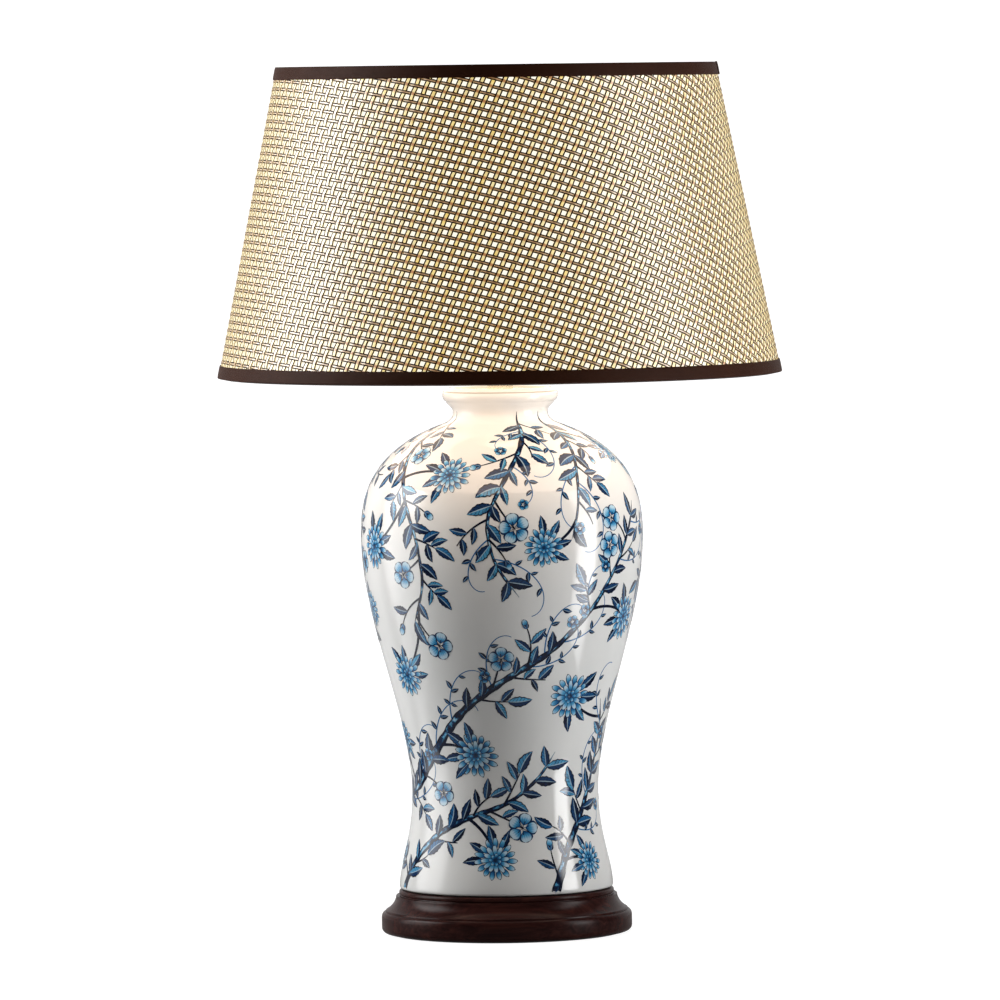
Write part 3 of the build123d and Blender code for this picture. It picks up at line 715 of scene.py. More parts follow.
def tendril(turn, level, heading, length, curl):
    """A fine line that curls up, with small leaves and often a small dark flower."""
    turns, levels, headings = walk(turn, level, heading, length, curl, TENDRIL_STEPS, curling_up)
    if not all(is_free(turns[k], levels[k], 1.5) and in_field(levels[k]) for k in (10, 15, 20, 25, 30)):
        return
    ribbon(turns, levels, np.linspace(1.15, 0.6, TENDRIL_STEPS + 1), LIFT["tendril"], 0.5)
    for k, lean in ((7, 0.9), (12, -0.9), (13, 0.9), (19, -0.9)):
        small = paint_random.uniform(6.0, 9.0)
        out = headings[k] + lean
        blade("leaf", turns[k], levels[k], out, small, 0.46 * small, LIFT["tendril_leaf"], 0.3, bend=0.4)
    if paint_random.random() < 0.65:
        plum_blossom(turns[-1], levels[-1], paint_random.uniform(8.0, 11.0), tone=0.12)
    for k in (10, 16, 22, 30):
        take(turns[k], levels[k], 4.0)


def spray(turn, level, heading, length, ends_in):
    """A twig with leaves, and a blossom, a bud or a leaf at its end."""
    bend = paint_random.uniform(-0.9, 0.9)
    turns, levels, headings = walk(turn, level, heading, length, bend)
    tip_room = {"blossom": 9.0, "bud": 4.0, "leaf": 5.0}[ends_in]
    if not is_free(turns[-1], levels[-1], tip_room) or not in_field(levels[-1]):
        return
    ribbon(turns, levels, np.linspace(1.9, 0.9, len(turns)), LIFT["twig"], 0.0)
    for spot in (5, 8):
        take(turns[spot], levels[spot], 1.2)
    if ends_in == "blossom":
        size = paint_random.uniform(17.0, 23.0)
        plum_blossom(turns[-1], levels[-1], size)
        take(turns[-1], levels[-1], 0.46 * size)
    elif ends_in == "bud":
        bud(turns[-1], levels[-1], headings[-1], paint_random.uniform(8.0, 11.0))
        take(turns[-1], levels[-1], 4.0)
    else:
        grown_leaf(turns[-1], levels[-1], headings[-1], paint_random.uniform(16.0, 22.0))
    for spot, lean in ((4, 0.9), (6, -0.95), (8, 0.85)):
        grown_leaf(turns[spot], levels[spot], headings[spot] + lean, paint_random.uniform(12.0, 18.0))


# %% Boughs and the stems of the heads
LINE_STEP = 1.5  # mm from one place on a bough to the next
PER_TWIG = 11  # places from one twig to the next
MEAN_R = 95.0  # mm, a middling radius of the wall
ROUNDINGS = 100  # times that a bough's corners are eased
HEAD_STEM_STEPS = 12


def smooth_line(points):
    """A curve through (turn in degrees, height in mm), as turns and levels."""
    turns = np.radians([p[0] for p in points])
    levels = up_wall(np.array([p[1] for p in points], dtype=float))
    spans = np.hypot(np.diff(turns) * MEAN_R, np.diff(levels))
    knots = np.concatenate([[0.0], np.cumsum(spans)])
    even = np.arange(0.0, knots[-1], LINE_STEP)
    fine = [np.interp(even, knots, turns), np.interp(even, knots, levels)]
    for _ in range(ROUNDINGS):
        for line in fine:
            line[1:-1] = (line[:-2] + 2 * line[1:-1] + line[2:]) / 4
    return fine


def bough(turns, levels, first, thick, painted_tape_reflection):
    """A gnarled bough that swells soon after its start and ends in a point."""
    count = np.arange(len(turns))
    swell = np.interp(count / count[-1], (0.0, 0.15, 1.0), (first, thick, painted_tape_reflection))
    point = np.clip((count[-1] - count) / PER_TWIG, 0.15, 1.0)
    knots = 1.0 + 0.10 * np.sin(count * 0.64) + 0.06 * np.sin(count * 0.23)
    ribbon(turns, levels, swell * point * knots, LIFT["bough"], 1.0)
    for turn, level in zip(turns[::3], levels[::3]):
        take(turn, level, 2.5)


def join(turn, level, size, lines):
    """A curved stem from the nearest bough to a flower head, with leaves behind the head."""
    gaps = [np.hypot((turns - turn) * girth(level), levels - level) for turns, levels in lines]
    nearest = min(range(len(lines)), key=lambda i: gaps[i].min())
    spot = max(int(np.argmin(gaps[nearest])) - PER_TWIG, 1)
    turns, levels = lines[nearest]
    start = np.array([turns[spot], levels[spot]])
    end = np.array([turn, level])
    reach = (end - start) * np.array([float(girth(level)), 1.0])
    aside = np.array([-reach[1] / float(girth(level)), reach[0]]) * 0.22
    t = np.linspace(0.0, 1.0, HEAD_STEM_STEPS)[:, None]
    line = (1 - t) ** 2 * start + 2 * t * (1 - t) * ((start + end) / 2 + aside) + t**2 * end
    ribbon(line[:, 0], line[:, 1], np.linspace(2.6, 1.8, HEAD_STEM_STEPS), LIFT["head_stem"], 0.0)
    back = math.atan2(-reach[1], -reach[0])
    for lean in (-1.1, -0.45, 0.35, 1.0):
        out = back + lean
        foot = beside(turn, level, out, 0.30 * size)
        long = size * paint_random.uniform(0.44, 0.58)
        tone = paint_random.random()
        blade("leaf", *foot, out, long, 0.42 * long, LIFT["head_leaf"], tone, bend=0.3, teeth=0.07)
        take(*beside(turn, level, out, 0.62 * size), 0.14 * size)
    for k in (3, 6):
        take(line[k, 0], line[k, 1], 1.5)


# %% Draw one side, then the other
BOUGHS = (
    # (first, thick and thin width in mm, places as turn in degrees from the front and height in mm)
    (2.0, 8.0, 2.6, ((-92, 108), (-66, 121), (-44, 152), (-22, 187), (0, 211), (22, 232), (42, 266),
                     (57, 309), (70, 352))),
    (0.3, 4.6, 2.0, ((-66, 424), (-60, 398), (-47, 364), (-37, 327), (-34, 288), (-43, 254))),
    (7.5, 6.8, 2.2, ((27, 38.2), (36, 70), (52, 98), (66, 128), (70, 162), (61, 193))),
    (7.0, 6.4, 2.0, ((-72, 38.2), (-62, 64), (-44, 86), (-22, 100), (2, 110), (22, 131), (31, 152))),
    (0.3, 4.6, 2.0, ((20, 424), (14, 402), (2, 374), (-7, 342), (-4, 306), (7, 278))),
    (0.3, 3.8, 1.8, ((52, 424), (45, 400), (36, 374), (33, 347), (29, 322))),
)
HEADS = (
    # (turn in degrees, height in mm, size in mm)
    (-17, 150, 36), (36, 196, 38), (-55, 214, 34), (17, 318, 32), (-64, 318, 36), (66, 258, 36),
    (-6, 66, 34), (54, 62, 30), (-24, 376, 34), (74, 392, 30), (-80, 160, 30),
)
SIDE_BOUGHS = (
    (0.3, 3.8, 1.6, ((-90, 424), (-89, 400), (-86, 372), (-88, 338), (-93, 306), (-92, 270), (-86, 238))),
)
SIDE_HEADS = ((-78, 266, 30),)
ENDS = ("blossom", "leaf", "bud", "blossom", "leaf")


def draw(boughs, heads, half_turn):
    """Boughs first, then the heads on their stems, then twigs, leaves and tendrils where there is room."""
    lines = []
    for first, thick, painted_tape_reflection, places in boughs:
        turns, levels = smooth_line(places)
        turns = turns + half_turn
        lines.append((turns, levels))
        bough(turns, levels, first, thick, painted_tape_reflection)
    for place_turn, place_height, size in heads:
        turn, level = math.radians(place_turn) + half_turn, float(up_wall(place_height))
        join(turn, level, size, lines)
        chrysanthemum(turn, level, size)
        take(turn, level, 0.5 * size)
    for line_number, (turns, levels) in enumerate(lines):
        hand = 1.0
        for spot in range(8, len(turns) - 5, PER_TWIG):
            here, above = (turns[spot], levels[spot]), (turns[spot + 3], levels[spot + 3])
            step_x = (turns[spot + 1] - turns[spot - 1]) * float(girth(levels[spot]))
            heading = math.atan2(levels[spot + 1] - levels[spot - 1], step_x)
            ends_in = ENDS[(spot // PER_TWIG + line_number) % len(ENDS)]
            out = heading + hand * paint_random.uniform(0.6, 1.1)
            spray(*here, out, paint_random.uniform(18.0, 34.0), ends_in)
            for lean in (0.8, -0.8):
                grown_leaf(*above, heading + lean, paint_random.uniform(15.0, 23.0))
            away = heading - hand * paint_random.uniform(0.5, 1.1)
            tendril(*here, away, paint_random.uniform(42.0, 78.0), hand * 3.6)
            tendril(*here, away + 2.0 * hand, paint_random.uniform(34.0, 60.0), -hand * 3.2)
            hand = -hand


for boughs, heads in ((BOUGHS, HEADS), (SIDE_BOUGHS, SIDE_HEADS)):
    for half_turn in (0.0, math.pi):
        draw(boughs, heads, half_turn)
print({kind: len(store["spots"]) for kind, store in strokes.items()})

# %% [markdown]
# ## Painting: from strokes to skins
# All strokes of a kind become one mesh. Solidify gives the skin a thickness inwards, so its back is
# inside the wall and its edge is closed.

# %% Make the skins
SKIN_T = 0.5 * MM


def mesh_piece(name, places, faces, uv_name, uv):
    """A new piece from places in metres and faces, with a UV map that is given by vertex."""
    mesh = bpy.data.meshes.new(name)
    mesh.from_pydata(places.tolist(), [], faces)
    corner = np.zeros(len(mesh.loops), np.int32)
    mesh.loops.foreach_get("vertex_index", corner)
    mesh.uv_layers.new(name=uv_name).data.foreach_set("uv", uv[corner].astype(np.float32).ravel())
    piece = bpy.data.objects.new(name, mesh)
    bpy.context.scene.collection.objects.link(piece)
    pick(piece)
    return piece


def count_triangles(piece):
    print(piece.name, "triangles", sum(len(p.vertices) - 2 for p in piece.data.polygons))


def painted_skin(kind):
    store = {key: np.concatenate(strokes[kind][key]) for key in STROKE_LISTS}
    piece = mesh_piece("painted_" + kind, store["spots"] * MM, store["faces"].tolist(), "stroke", store["uv"])
    mesh = piece.data
    tone = mesh.attributes.new("tone", "FLOAT", "POINT")
    tone.data.foreach_set("value", store["tone"].astype(np.float32))
    normal = mesh.polygons[0].normal
    middle = mesh.polygons[0].center
    if normal.x * middle.x + normal.y * middle.y < 0:
        mesh.flip_normals()
    bpy.ops.object.modifier_add(type="SOLIDIFY")
    piece.modifiers[-1].thickness = SKIN_T
    piece.modifiers[-1].offset = -1.0
    bpy.ops.object.modifier_apply(modifier=piece.modifiers[-1].name)
    bpy.ops.object.shade_smooth_by_angle(angle=math.radians(35))
    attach(piece, "base")
    count_triangles(piece)
    return piece


painted = {kind: painted_skin(kind) for kind in strokes}

# %% [markdown]
# ## Painting: cobalt blue
# Cobalt runs from almost black, where the brush was full, to a pale wash. A leaf has a dark half and a
# lighter one with a pale vein, a petal pales towards its tip, and a bough has bark on its lit side.

# %% Cobalt under the glaze
NAVY = (0.002, 0.007, 0.028)
DEEP = (0.006, 0.034, 0.110)
BLUE = (0.015, 0.140, 0.360)
SKY = (0.10, 0.41, 0.68)
PALE = (0.52, 0.70, 0.82)


def cobalt(name):
    """A glazed blue with its UV parts: along, across, from the middle to the edge, and tone."""
    made, tree, shader = finish(name, **GLOSS)
    along, across = uv_parts(tree, "stroke")
    edge = from_middle_of(tree, across)
    tone = add_node(tree, "Attribute", {"attribute_name": "tone"}).outputs["Fac"]
    orange_peel(tree, shader)
    return made, tree, shader, along, across, edge, tone


# %% Leaf blue
leaf_blue, tree, shader, along, across, edge, tone = cobalt("leaf_blue")
wash = mottled(tree, 160.0, 3.0)
dark_half = mix_colour(tree, smooth_step(tree, tone, 0.1, 0.9), NAVY, DEEP)
light_half = ramp(tree, tone, (0.05, DEEP), (0.50, BLUE), (0.95, SKY))
halves = mix_colour(tree, smooth_step(tree, across, 0.40, 0.62), dark_half, light_half)
halves = mix_colour(tree, smooth_step(tree, wash, 0.45, 0.78), halves, DEEP)
slanted = maths(tree, "MULTIPLY_ADD", edge, -0.16, along)
rib = maths(tree, "SINE", maths(tree, "MULTIPLY", slanted, 44.0))
rib = maths(tree, "MULTIPLY", smooth_step(tree, rib, 0.72, 0.95), 0.8)
vein = maths(tree, "MULTIPLY", smooth_step(tree, edge, 0.13, 0.04), 0.70)
lined = mix_colour(tree, vein, mix_colour(tree, rib, halves, NAVY), PALE)
lined = mix_colour(tree, smooth_step(tree, edge, 0.72, 0.84), lined, NAVY)
tree.links.new(lined, shader.inputs["Base Color"])
wear(painted["leaf"], leaf_blue)

# %% Petal blue
STREAKS_ACROSS = 6
petal_blue, tree, shader, along, across, edge, tone = cobalt("petal_blue")
fade = maths(tree, "ADD", along, maths(tree, "MULTIPLY_ADD", tone, 0.5, -0.25))
wash = maths(tree, "MULTIPLY_ADD", mottled(tree, 140.0, 2.0), 0.5, -0.25)
body = ramp(tree, maths(tree, "ADD", fade, wash), (0.10, NAVY), (0.34, BLUE), (0.56, SKY), (0.82, PALE))
streak = maths(tree, "SINE", maths(tree, "MULTIPLY", across, STREAKS_ACROSS * 2 * math.pi))
streak = maths(tree, "MULTIPLY", smooth_step(tree, streak, 0.6, 0.95), smooth_step(tree, along, 0.85, 0.3))
at_tip = smooth_step(tree, along, 0.90, 0.95)
outline_mask = maths(tree, "MAXIMUM", smooth_step(tree, edge, 0.68, 0.82), at_tip)
outlined = mix_colour(tree, tone, NAVY, DEEP)
petal = mix_colour(tree, outline_mask, mix_colour(tree, streak, body, BLUE), outlined)
tree.links.new(petal, shader.inputs["Base Color"])
wear(painted["petal"], petal_blue)

# %% Stem blue
stem_blue, tree, shader, along, across, edge, tone = cobalt("stem_blue")
bark = mottled(tree, 170.0, 4.0)
patchy = ramp(tree, bark, (0.38, NAVY), (0.50, DEEP), (0.58, SKY), (0.68, PALE))
lit_from = smooth_step(tree, across, 0.30, 0.50)
lit_side = maths(tree, "MULTIPLY", lit_from, smooth_step(tree, across, 0.90, 0.76))
barked = mix_colour(tree, lit_side, NAVY, patchy)
plain = mix_colour(tree, smooth_step(tree, tone, 0.2, 0.45), NAVY, BLUE)
stem = mix_colour(tree, smooth_step(tree, tone, 0.7, 0.9), plain, barked)
tree.links.new(stem, shader.inputs["Base Color"])
wear(painted["stem"], stem_blue)

# %% [markdown]
# ## Plinth
# The plinth is turned from one disc of wood: a rounded base ring, a quirk, a cove and a bead under the
# vase. It is stained almost black-brown and polished, and the grain shows through the stain.

# %% Plinth
PLINTH_R, PLINTH_TOP, RING_H = 101.6, 36.0, 18.0
ROUND_R = 4.5  # the base ring's lower edge
HOLLOW_R, HOLLOW_TOP = 32.0, 20.0  # the room for the nut under the plinth
TUBE_HOLE_R = 5.3
BEAD_LOW = PLINTH_TOP - 5.1
plinth_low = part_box("plinth")[0].z / MM
plinth_outline = (
    [(HOLLOW_R, plinth_low), (PLINTH_R - ROUND_R, plinth_low)]
    + arc((PLINTH_R - ROUND_R, plinth_low + ROUND_R), ROUND_R, -90, 0, 10)[1:]
    + bezier_path(
        (PLINTH_R, RING_H - 5.0),
        ((PLINTH_R, RING_H - 2.2), (PLINTH_R - 0.9, RING_H - 0.9), (PLINTH_R - 2.0, RING_H - 0.25), 8),
    )
    + arc((PLINTH_R - 2.5, RING_H - 0.6), 0.6, 35, 100, 4)
    + [(PLINTH_R - 3.3, RING_H - 0.05), (PLINTH_R - 3.5, RING_H + 0.1), (PLINTH_R - 3.5, RING_H + 1.2)]
    + bezier_path(
        (PLINTH_R - 3.7, RING_H + 1.5),
        ((PLINTH_R - 7.6, RING_H + 3.4), (FOOT_R + 3.4, PLINTH_TOP - 9.8), (FOOT_R + 3.1, BEAD_LOW), 16),
    )
    + [(FOOT_R + 3.1, BEAD_LOW), (FOOT_R + 2.8, PLINTH_TOP - 4.8), (FOOT_R, PLINTH_TOP - 4.75)]
    + bezier_path(
        (FOOT_R - 0.2, PLINTH_TOP - 4.3),
        ((FOOT_R + 1.0, PLINTH_TOP - 3.6), (FOOT_R + 1.0, PLINTH_TOP), (FOOT_R - 1.4, PLINTH_TOP), 10),
    )
    + [(FOOT_R - 1.4, PLINTH_TOP), (TUBE_HOLE_R, PLINTH_TOP)]
    + [(TUBE_HOLE_R, HOLLOW_TOP), (HOLLOW_R, HOLLOW_TOP)]
)
plinth = lathe("plinth_turned", plinth_outline, steps=224)
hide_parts("plinth")
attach(plinth, "base")

# %% Stained wood
stained, tree, shader = finish("stained_wood", IOR=1.20)
grain = streaked(tree, (4.0, 60.0, 60.0), scale=3.0, detail=8.0, roughness=0.65, distortion=0.6)
brown = ramp(
    tree,
    grain,
    (0.30, (0.015, 0.0042, 0.0040)),
    (0.52, (0.033, 0.0095, 0.0082)),
    (0.74, (0.064, 0.0195, 0.0145)),
)
tree.links.new(brown, shader.inputs["Base Color"])
tree.links.new(maths(tree, "MULTIPLY_ADD", grain, 0.12, 0.19), shader.inputs["Roughness"])
bump(tree, shader, grain, strength=0.06, distance=0.0004)
wear(plinth, stained)

# %% [markdown]
# ## Shade: the slant and the flat sheet
# A drum shade is cut flat and rolled into a cone. A place on the flat sheet is kept in mm from the point
# where the cone would end, so a straight strand on the sheet becomes the slow curve seen on the real shade.

# %% Where the shade's layers lie
SHADE_BOTTOM_R, SHADE_TOP_R = 228.6, 178.4
RIM_LOW, SHADE_H = 453.0, 250.5
TAPE_T, COVER_T, LINING_T, WIRE_POCKET = 0.7, 1.6, 0.5, 3.5
LEAN = math.atan2(SHADE_BOTTOM_R - SHADE_TOP_R, SHADE_H)
SLANT = math.hypot(SHADE_BOTTOM_R - SHADE_TOP_R, SHADE_H)
TIP_TO_RIM = SHADE_BOTTOM_R / math.sin(LEAN)
TIP_Z = RIM_LOW + TIP_TO_RIM * math.cos(LEAN)
HALF_SHEET = math.pi * math.sin(LEAN)
COVER_MIDDLE = -TAPE_T - COVER_T / 2


def on_shade(x, y, out):
    """Flat sheet (x right, y up from the cone's tip) to the rolled shade, in metres."""
    reach = np.hypot(x, y)
    turn = np.arctan2(x, -y) / math.sin(LEAN)
    radius = reach * math.sin(LEAN) + out * math.cos(LEAN)
    height = TIP_Z - reach * math.cos(LEAN) + out * math.sin(LEAN)
    return np.stack([radius * np.sin(turn), -radius * np.cos(turn), height], axis=-1) * MM


print("slant", round(SLANT, 1), "mm, lean", round(math.degrees(LEAN), 2), "degrees")

# %% [markdown]
# ## Shade: the weave
# Broad golden strands go up the shade and narrower brown ones go across, one over and one under. By hand
# one strand would be modelled and arrayed. Here the crossings follow a slanted lattice on the flat sheet,
# so a loop lays each strand through its crossings and lets it rise and dip by its own thickness.

# %% The lattice
ACROSS_PITCH, UP_PITCH = 8.2, 6.65
ACROSS_FALL, UP_LEAN = math.radians(15.5), math.radians(24.0)
UP_WIDTH, ACROSS_WIDTH = 4.55, 3.0
HALF_THICK, SWAY = 0.40, 0.40
STEPS = 3  # places on a strand from one crossing to the next
SECTION = ((-0.5, -1.0), (-0.5, 0.3), (0.0, 1.0), (0.5, 0.3), (0.5, -1.0))
HIDDEN_EDGE = 2.5  # how far under the tapes the strands end
LAST_STRAND, LAST_CROSSING = 160, 170  # counted from the middle of the sheet, past its edges

across_step = ACROSS_PITCH * np.array([math.cos(ACROSS_FALL), -math.sin(ACROSS_FALL)])
up_step = UP_PITCH * np.array([math.sin(UP_LEAN), math.cos(UP_LEAN)])
sheet_middle = np.array([0.0, -(TIP_TO_RIM - SLANT / 2)])


def on_sheet(points):
    reach = np.hypot(points[:, 0], points[:, 1])
    turn = np.abs(np.arctan2(points[:, 0], -points[:, 1]))
    inside = (reach < TIP_TO_RIM - HIDDEN_EDGE) & (reach > TIP_TO_RIM - SLANT + HIDDEN_EDGE)
    return inside & (turn < HALF_SHEET)


def runs_of(inside):
    """First and last index of each unbroken stretch of True."""
    edges = np.flatnonzero(np.diff(np.concatenate([[0], inside.astype(int), [0]])))
    return [(a, b) for a, b in zip(edges[::2], edges[1::2]) if b - a > STEPS]


# %% Strands
def weave(name, along, aside, width, first_over):
    """All strands of one family, as one mesh with a UV map: crossings along, and 0 to 1 over its back."""
    heading = along / np.linalg.norm(along)
    sideways = np.array([-heading[1], heading[0]])
    count = len(SECTION)
    steps = np.arange(-LAST_CROSSING * STEPS, LAST_CROSSING * STEPS + 1) / STEPS
    places, faces, spread = [], [], []
    base = 0
    for number in range(-LAST_STRAND, LAST_STRAND + 1):
        line = sheet_middle + number * aside + steps[:, None] * along
        for first, last in runs_of(on_sheet(line)):
            t = steps[first:last]
            length = len(t)
            rise = SWAY * np.cos(math.pi * (t + number)) * first_over
            rings = []
            for offset, level in SECTION:
                spot = line[first:last] + sideways * (offset * width)
                rings.append(on_shade(spot[:, 0], spot[:, 1], COVER_MIDDLE + rise + level * HALF_THICK))
            places.append(np.stack(rings, axis=1).reshape(-1, 3))
            grid = base + np.arange(length * count).reshape(length, count)
            for k in range(count):
                near, far = grid[:, k], grid[:, (k + 1) % count]
                faces.extend(np.stack([near[:-1], near[1:], far[1:], far[:-1]], axis=1).tolist())
            faces.append(grid[0].tolist())
            faces.append(grid[-1][::-1].tolist())
            over_back = np.tile(np.linspace(0, 1, count), length)
            spread.append(np.stack([np.repeat(t + number, count), over_back], axis=1))
            base += length * count
    piece = mesh_piece(name, np.concatenate(places), faces, "strand", np.concatenate(spread))
    point_outwards(piece)
    bpy.ops.object.shade_smooth_by_angle(angle=math.radians(75))
    count_triangles(piece)
    return piece


golden_strands = weave("strands_up", up_step, across_step, UP_WIDTH, 1.0)
brown_strands = weave("strands_across", across_step, up_step, ACROSS_WIDTH, -1.0)
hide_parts("shade_cover")
for piece in (golden_strands, brown_strands):
    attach(piece, "shade")

# %% [markdown]
# ## Shade: cane
# A strand of cane has a paler, varnished back. Painted shade darkens its two edges and dims its glow there.
# The lamp shines through it where it lies alone, and hardly where it crosses another, so each open stretch
# glows and each crossing is dark. Both families share this as one node group, with their own colours.

# %% Shared effect: cane with lamplight behind it
SIDE_COLOUR, SIDE_GLOW, BLACK = (0.86, 0.77, 0.54), (0.56, 0.44, 0.21), (0.0, 0.0, 0.0)
# how softly the painted shade on a strand's edges fades in
EDGE_SHADE_FADE = 0.04
CANE_NUMBERS = ("Crossing", "Across", "Rind")
CANE_COLOURS = (
    "Back", "Back Dark", "Back Crossed", "Edge", "Glow Orange", "Glow Cream", "Glow Crossed", "Glow Dim"
)
CANE_OUTPUTS = {"Colour": "Color", "Glow": "Color", "Varnish": "Float"}

cane_inputs = {**{socket: "Float" for socket in CANE_NUMBERS}, **{socket: "Color" for socket in CANE_COLOURS}}
cane, given, put_out = new_group("cane", cane_inputs, CANE_OUTPUTS)
from_back = from_middle_of(cane, given["Across"])
ragged = maths(cane, "MULTIPLY_ADD", mottled(cane, 260.0, 2.0), 0.14, -0.07)
edge_shade_from = maths(cane, "SUBTRACT", given["Rind"], EDGE_SHADE_FADE)
edge_shade_to = maths(cane, "ADD", given["Rind"], EDGE_SHADE_FADE)
# Painted shade along both edges of each strand: a dark colour, and no glow.
painted_edge_shade = smooth_step(cane, maths(cane, "ADD", from_back, ragged), edge_shade_from, edge_shade_to)
wave = maths(cane, "COSINE", maths(cane, "MULTIPLY", given["Crossing"], math.pi))
crossed = smooth_step(cane, maths(cane, "ABSOLUTE", wave), 0.66, 0.97)
is_side = smooth_step(cane, from_back, 0.50, 0.58)
tone = mix_colour(cane, mottled(cane, 90.0, 2.0), given["Back Dark"], given["Back"])
tone = mix_colour(cane, crossed, tone, given["Back Crossed"])
colour = mix_colour(cane, is_side, mix_colour(cane, painted_edge_shade, tone, given["Edge"]), SIDE_COLOUR)
hue = maths(cane, "MULTIPLY_ADD", mottled(cane, 130.0, 2.0), 2.6, -0.8)
through = mix_colour(cane, hue, given["Glow Orange"], given["Glow Cream"])
through = mix_colour(cane, crossed, through, given["Glow Crossed"])
patch = maths(cane, "MULTIPLY_ADD", mottled(cane, 120.0, 2.0), 1.5, 0.25)
shown = mix_colour(cane, patch, given["Glow Dim"], through)
shown = mix_colour(cane, is_side, mix_colour(cane, painted_edge_shade, shown, BLACK), SIDE_GLOW)
for socket, value in (("Colour", colour), ("Glow", shown), ("Varnish", maths(cane, "SUBTRACT", 1.0, painted_edge_shade))):
    cane.links.new(value, put_out[socket])


# %% Golden and brown cane
def tinted(colour, red, green, blue):
    return (red * colour[0], green * colour[1], blue * colour[2], 1.0)


def strand_finish(name, back, edge, edge_shade_width, glow_open, glow_crossed):
    """Varnished cane: its back, the colour and width of its painted edge shade, and the light through it."""
    made, tree, shader = finish(
        name, Roughness=0.55, IOR=1.25, Coat_Roughness=0.40, Coat_IOR=2.7,
        Sheen_Weight=0.25, Sheen_Roughness=0.25, Sheen_Tint=(1.0, 0.55, 0.16, 1.0), Emission_Strength=0.78,
    )
    strand = place_group(
        tree, cane, Rind=edge_shade_width, Edge=(*edge, 1.0), Back=(*back, 1.0),
        Back_Dark=tinted(back, 0.80, 0.80, 0.80), Back_Crossed=tinted(back, 0.66, 0.50, 0.36),
        Glow_Orange=tinted(glow_open, 1.0, 0.80, 0.35), Glow_Cream=tinted(glow_open, 1.05, 1.08, 2.2),
        Glow_Crossed=(*glow_crossed, 1.0), Glow_Dim=tinted(glow_crossed, 0.45, 0.45, 0.45),
    )
    for part, socket in zip(uv_parts(tree, "strand"), ("Crossing", "Across")):
        tree.links.new(part, strand.inputs[socket])
    for output, socket in (("Colour", "Base Color"), ("Glow", "Emission Color"), ("Varnish", "Coat Weight")):
        tree.links.new(strand.outputs[output], shader.inputs[socket])
    return made


# The third colour and the number after it are the painted shade on the strand's edges: its colour and width.
golden_cane = strand_finish(
    "golden_cane", (0.93, 0.88, 0.68), (0.020, 0.007, 0.002), 0.235, (1.12, 0.94, 0.23), (0.44, 0.14, 0.008)
)
brown_cane = strand_finish(
    "brown_cane", (0.86, 0.75, 0.51), (0.018, 0.006, 0.002), 0.170, (0.34, 0.15, 0.022), (0.20, 0.07, 0.008)
)
wear(golden_strands, golden_cane)
wear(brown_strands, brown_cane)

# %% [markdown]
# ## Shade: the lining
# Behind the cane is a white translucent lining. The lit bulb makes its inside warm and bright, and that
# lights the shoulder of the vase. A camera that looks straight into the shade would see only white there,
# so it is shown a calmer glow. Outside, a painted glow stands in for the lamplight that comes through the
# lining, and shows as white squares between the strands. The side is told by whether the surface faces away
# from the lamp's axis.

# %% Lining
BRIGHT_PART = 0.45  # the lower share of the shade where the inside is brightest
lining, tree, shader = finish("white_lining", Roughness=0.55, Emission_Strength=1.02)
where = add_node(tree, "TexCoord").outputs
flat = add_node(tree, "VectorMath", {"operation": "MULTIPLY"})
flat.inputs[1].default_value = (1.0, 1.0, 0.0)
outwards = add_node(tree, "VectorMath", {"operation": "DOT_PRODUCT"})
tree.links.new(where["Object"], flat.inputs[0])
tree.links.new(flat.outputs["Vector"], outwards.inputs[0])
tree.links.new(where["Normal"], outwards.inputs[1])
is_outside = maths(tree, "GREATER_THAN", outwards.outputs["Value"], 0.0)
# Painted glow on the outside: the lamplight that comes through the lining, a little patchy.
patchy = ramp(tree, mottled(tree, 9.0, 2.0), (0.2, (0.95, 0.905, 0.80)), (0.8, (1.0, 0.965, 0.87)))
height = split(tree, where["Object"])["Z"]
up_shade = smooth_step(tree, height, RIM_LOW * MM, (RIM_LOW + BRIGHT_PART * SHADE_H) * MM)
given_off = mix_colour(tree, up_shade, (2.75, 2.13, 1.67), (1.62, 1.28, 0.98))
seen = mix_colour(tree, up_shade, (0.50, 0.48, 0.40), (0.36, 0.33, 0.26))
to_camera = add_node(tree, "LightPath").outputs["Is Camera Ray"]
lit = mix_colour(tree, is_outside, mix_colour(tree, to_camera, given_off, seen), patchy)
tree.links.new(lit, shader.inputs["Emission Color"])
paper = mix_colour(tree, is_outside, (0.25, 0.25, 0.25), (0.22, 0.20, 0.15))
tree.links.new(paper, shader.inputs["Base Color"])
wear(nodes["shade_lining"], lining)

# %% [markdown]
# ## Shade: taped edges
# A dark cotton tape is folded over each edge and round the wire inside it. Its outer face is a little
# crowned, and its end laps over its start at one side. The cover is one sheet that meets itself at the
# back, and a strip of the same tape hides that join.

# %% Outlines of the tapes
TAPE_W = 10.5
LINING_IN = -TAPE_T - COVER_T - LINING_T


def from_bottom(up, out):
    """A place on the shade's wall, in mm up the slant and out from its face."""
    radius = SHADE_BOTTOM_R - up * math.sin(LEAN) + out * math.cos(LEAN)
    return (radius, RIM_LOW + up * math.cos(LEAN) + out * math.sin(LEAN))


def from_top(down, out):
    return from_bottom(SLANT - down, out)


def folded(place):
    """The tape's closed outline, from the outer face round the edge to the inner face."""
    deep = LINING_IN - WIRE_POCKET
    far = TAPE_T + WIRE_POCKET
    outside = [(0.0, -0.5), (0.1, -0.22), (0.32, -0.06), (0.8, 0.0), (3.0, 0.1), (6.5, 0.12), (9.6, 0.04)]
    hem = [(10.2, -0.04), (10.45, -0.2), (TAPE_W, -0.4), (TAPE_W, -0.68)]
    under = [(0.7, -0.7), (0.7, deep), (far, deep), (far, LINING_IN), (far + 0.7, LINING_IN)]
    inside = [(far + 0.7, deep - 0.4), (far + 0.4, deep - 0.7), (0.6, deep - 0.7)]
    inner_edge = [(0.16, deep - 0.5), (0.0, deep)]
    return [place(*p) for p in outside + hem + under + inside + inner_edge]


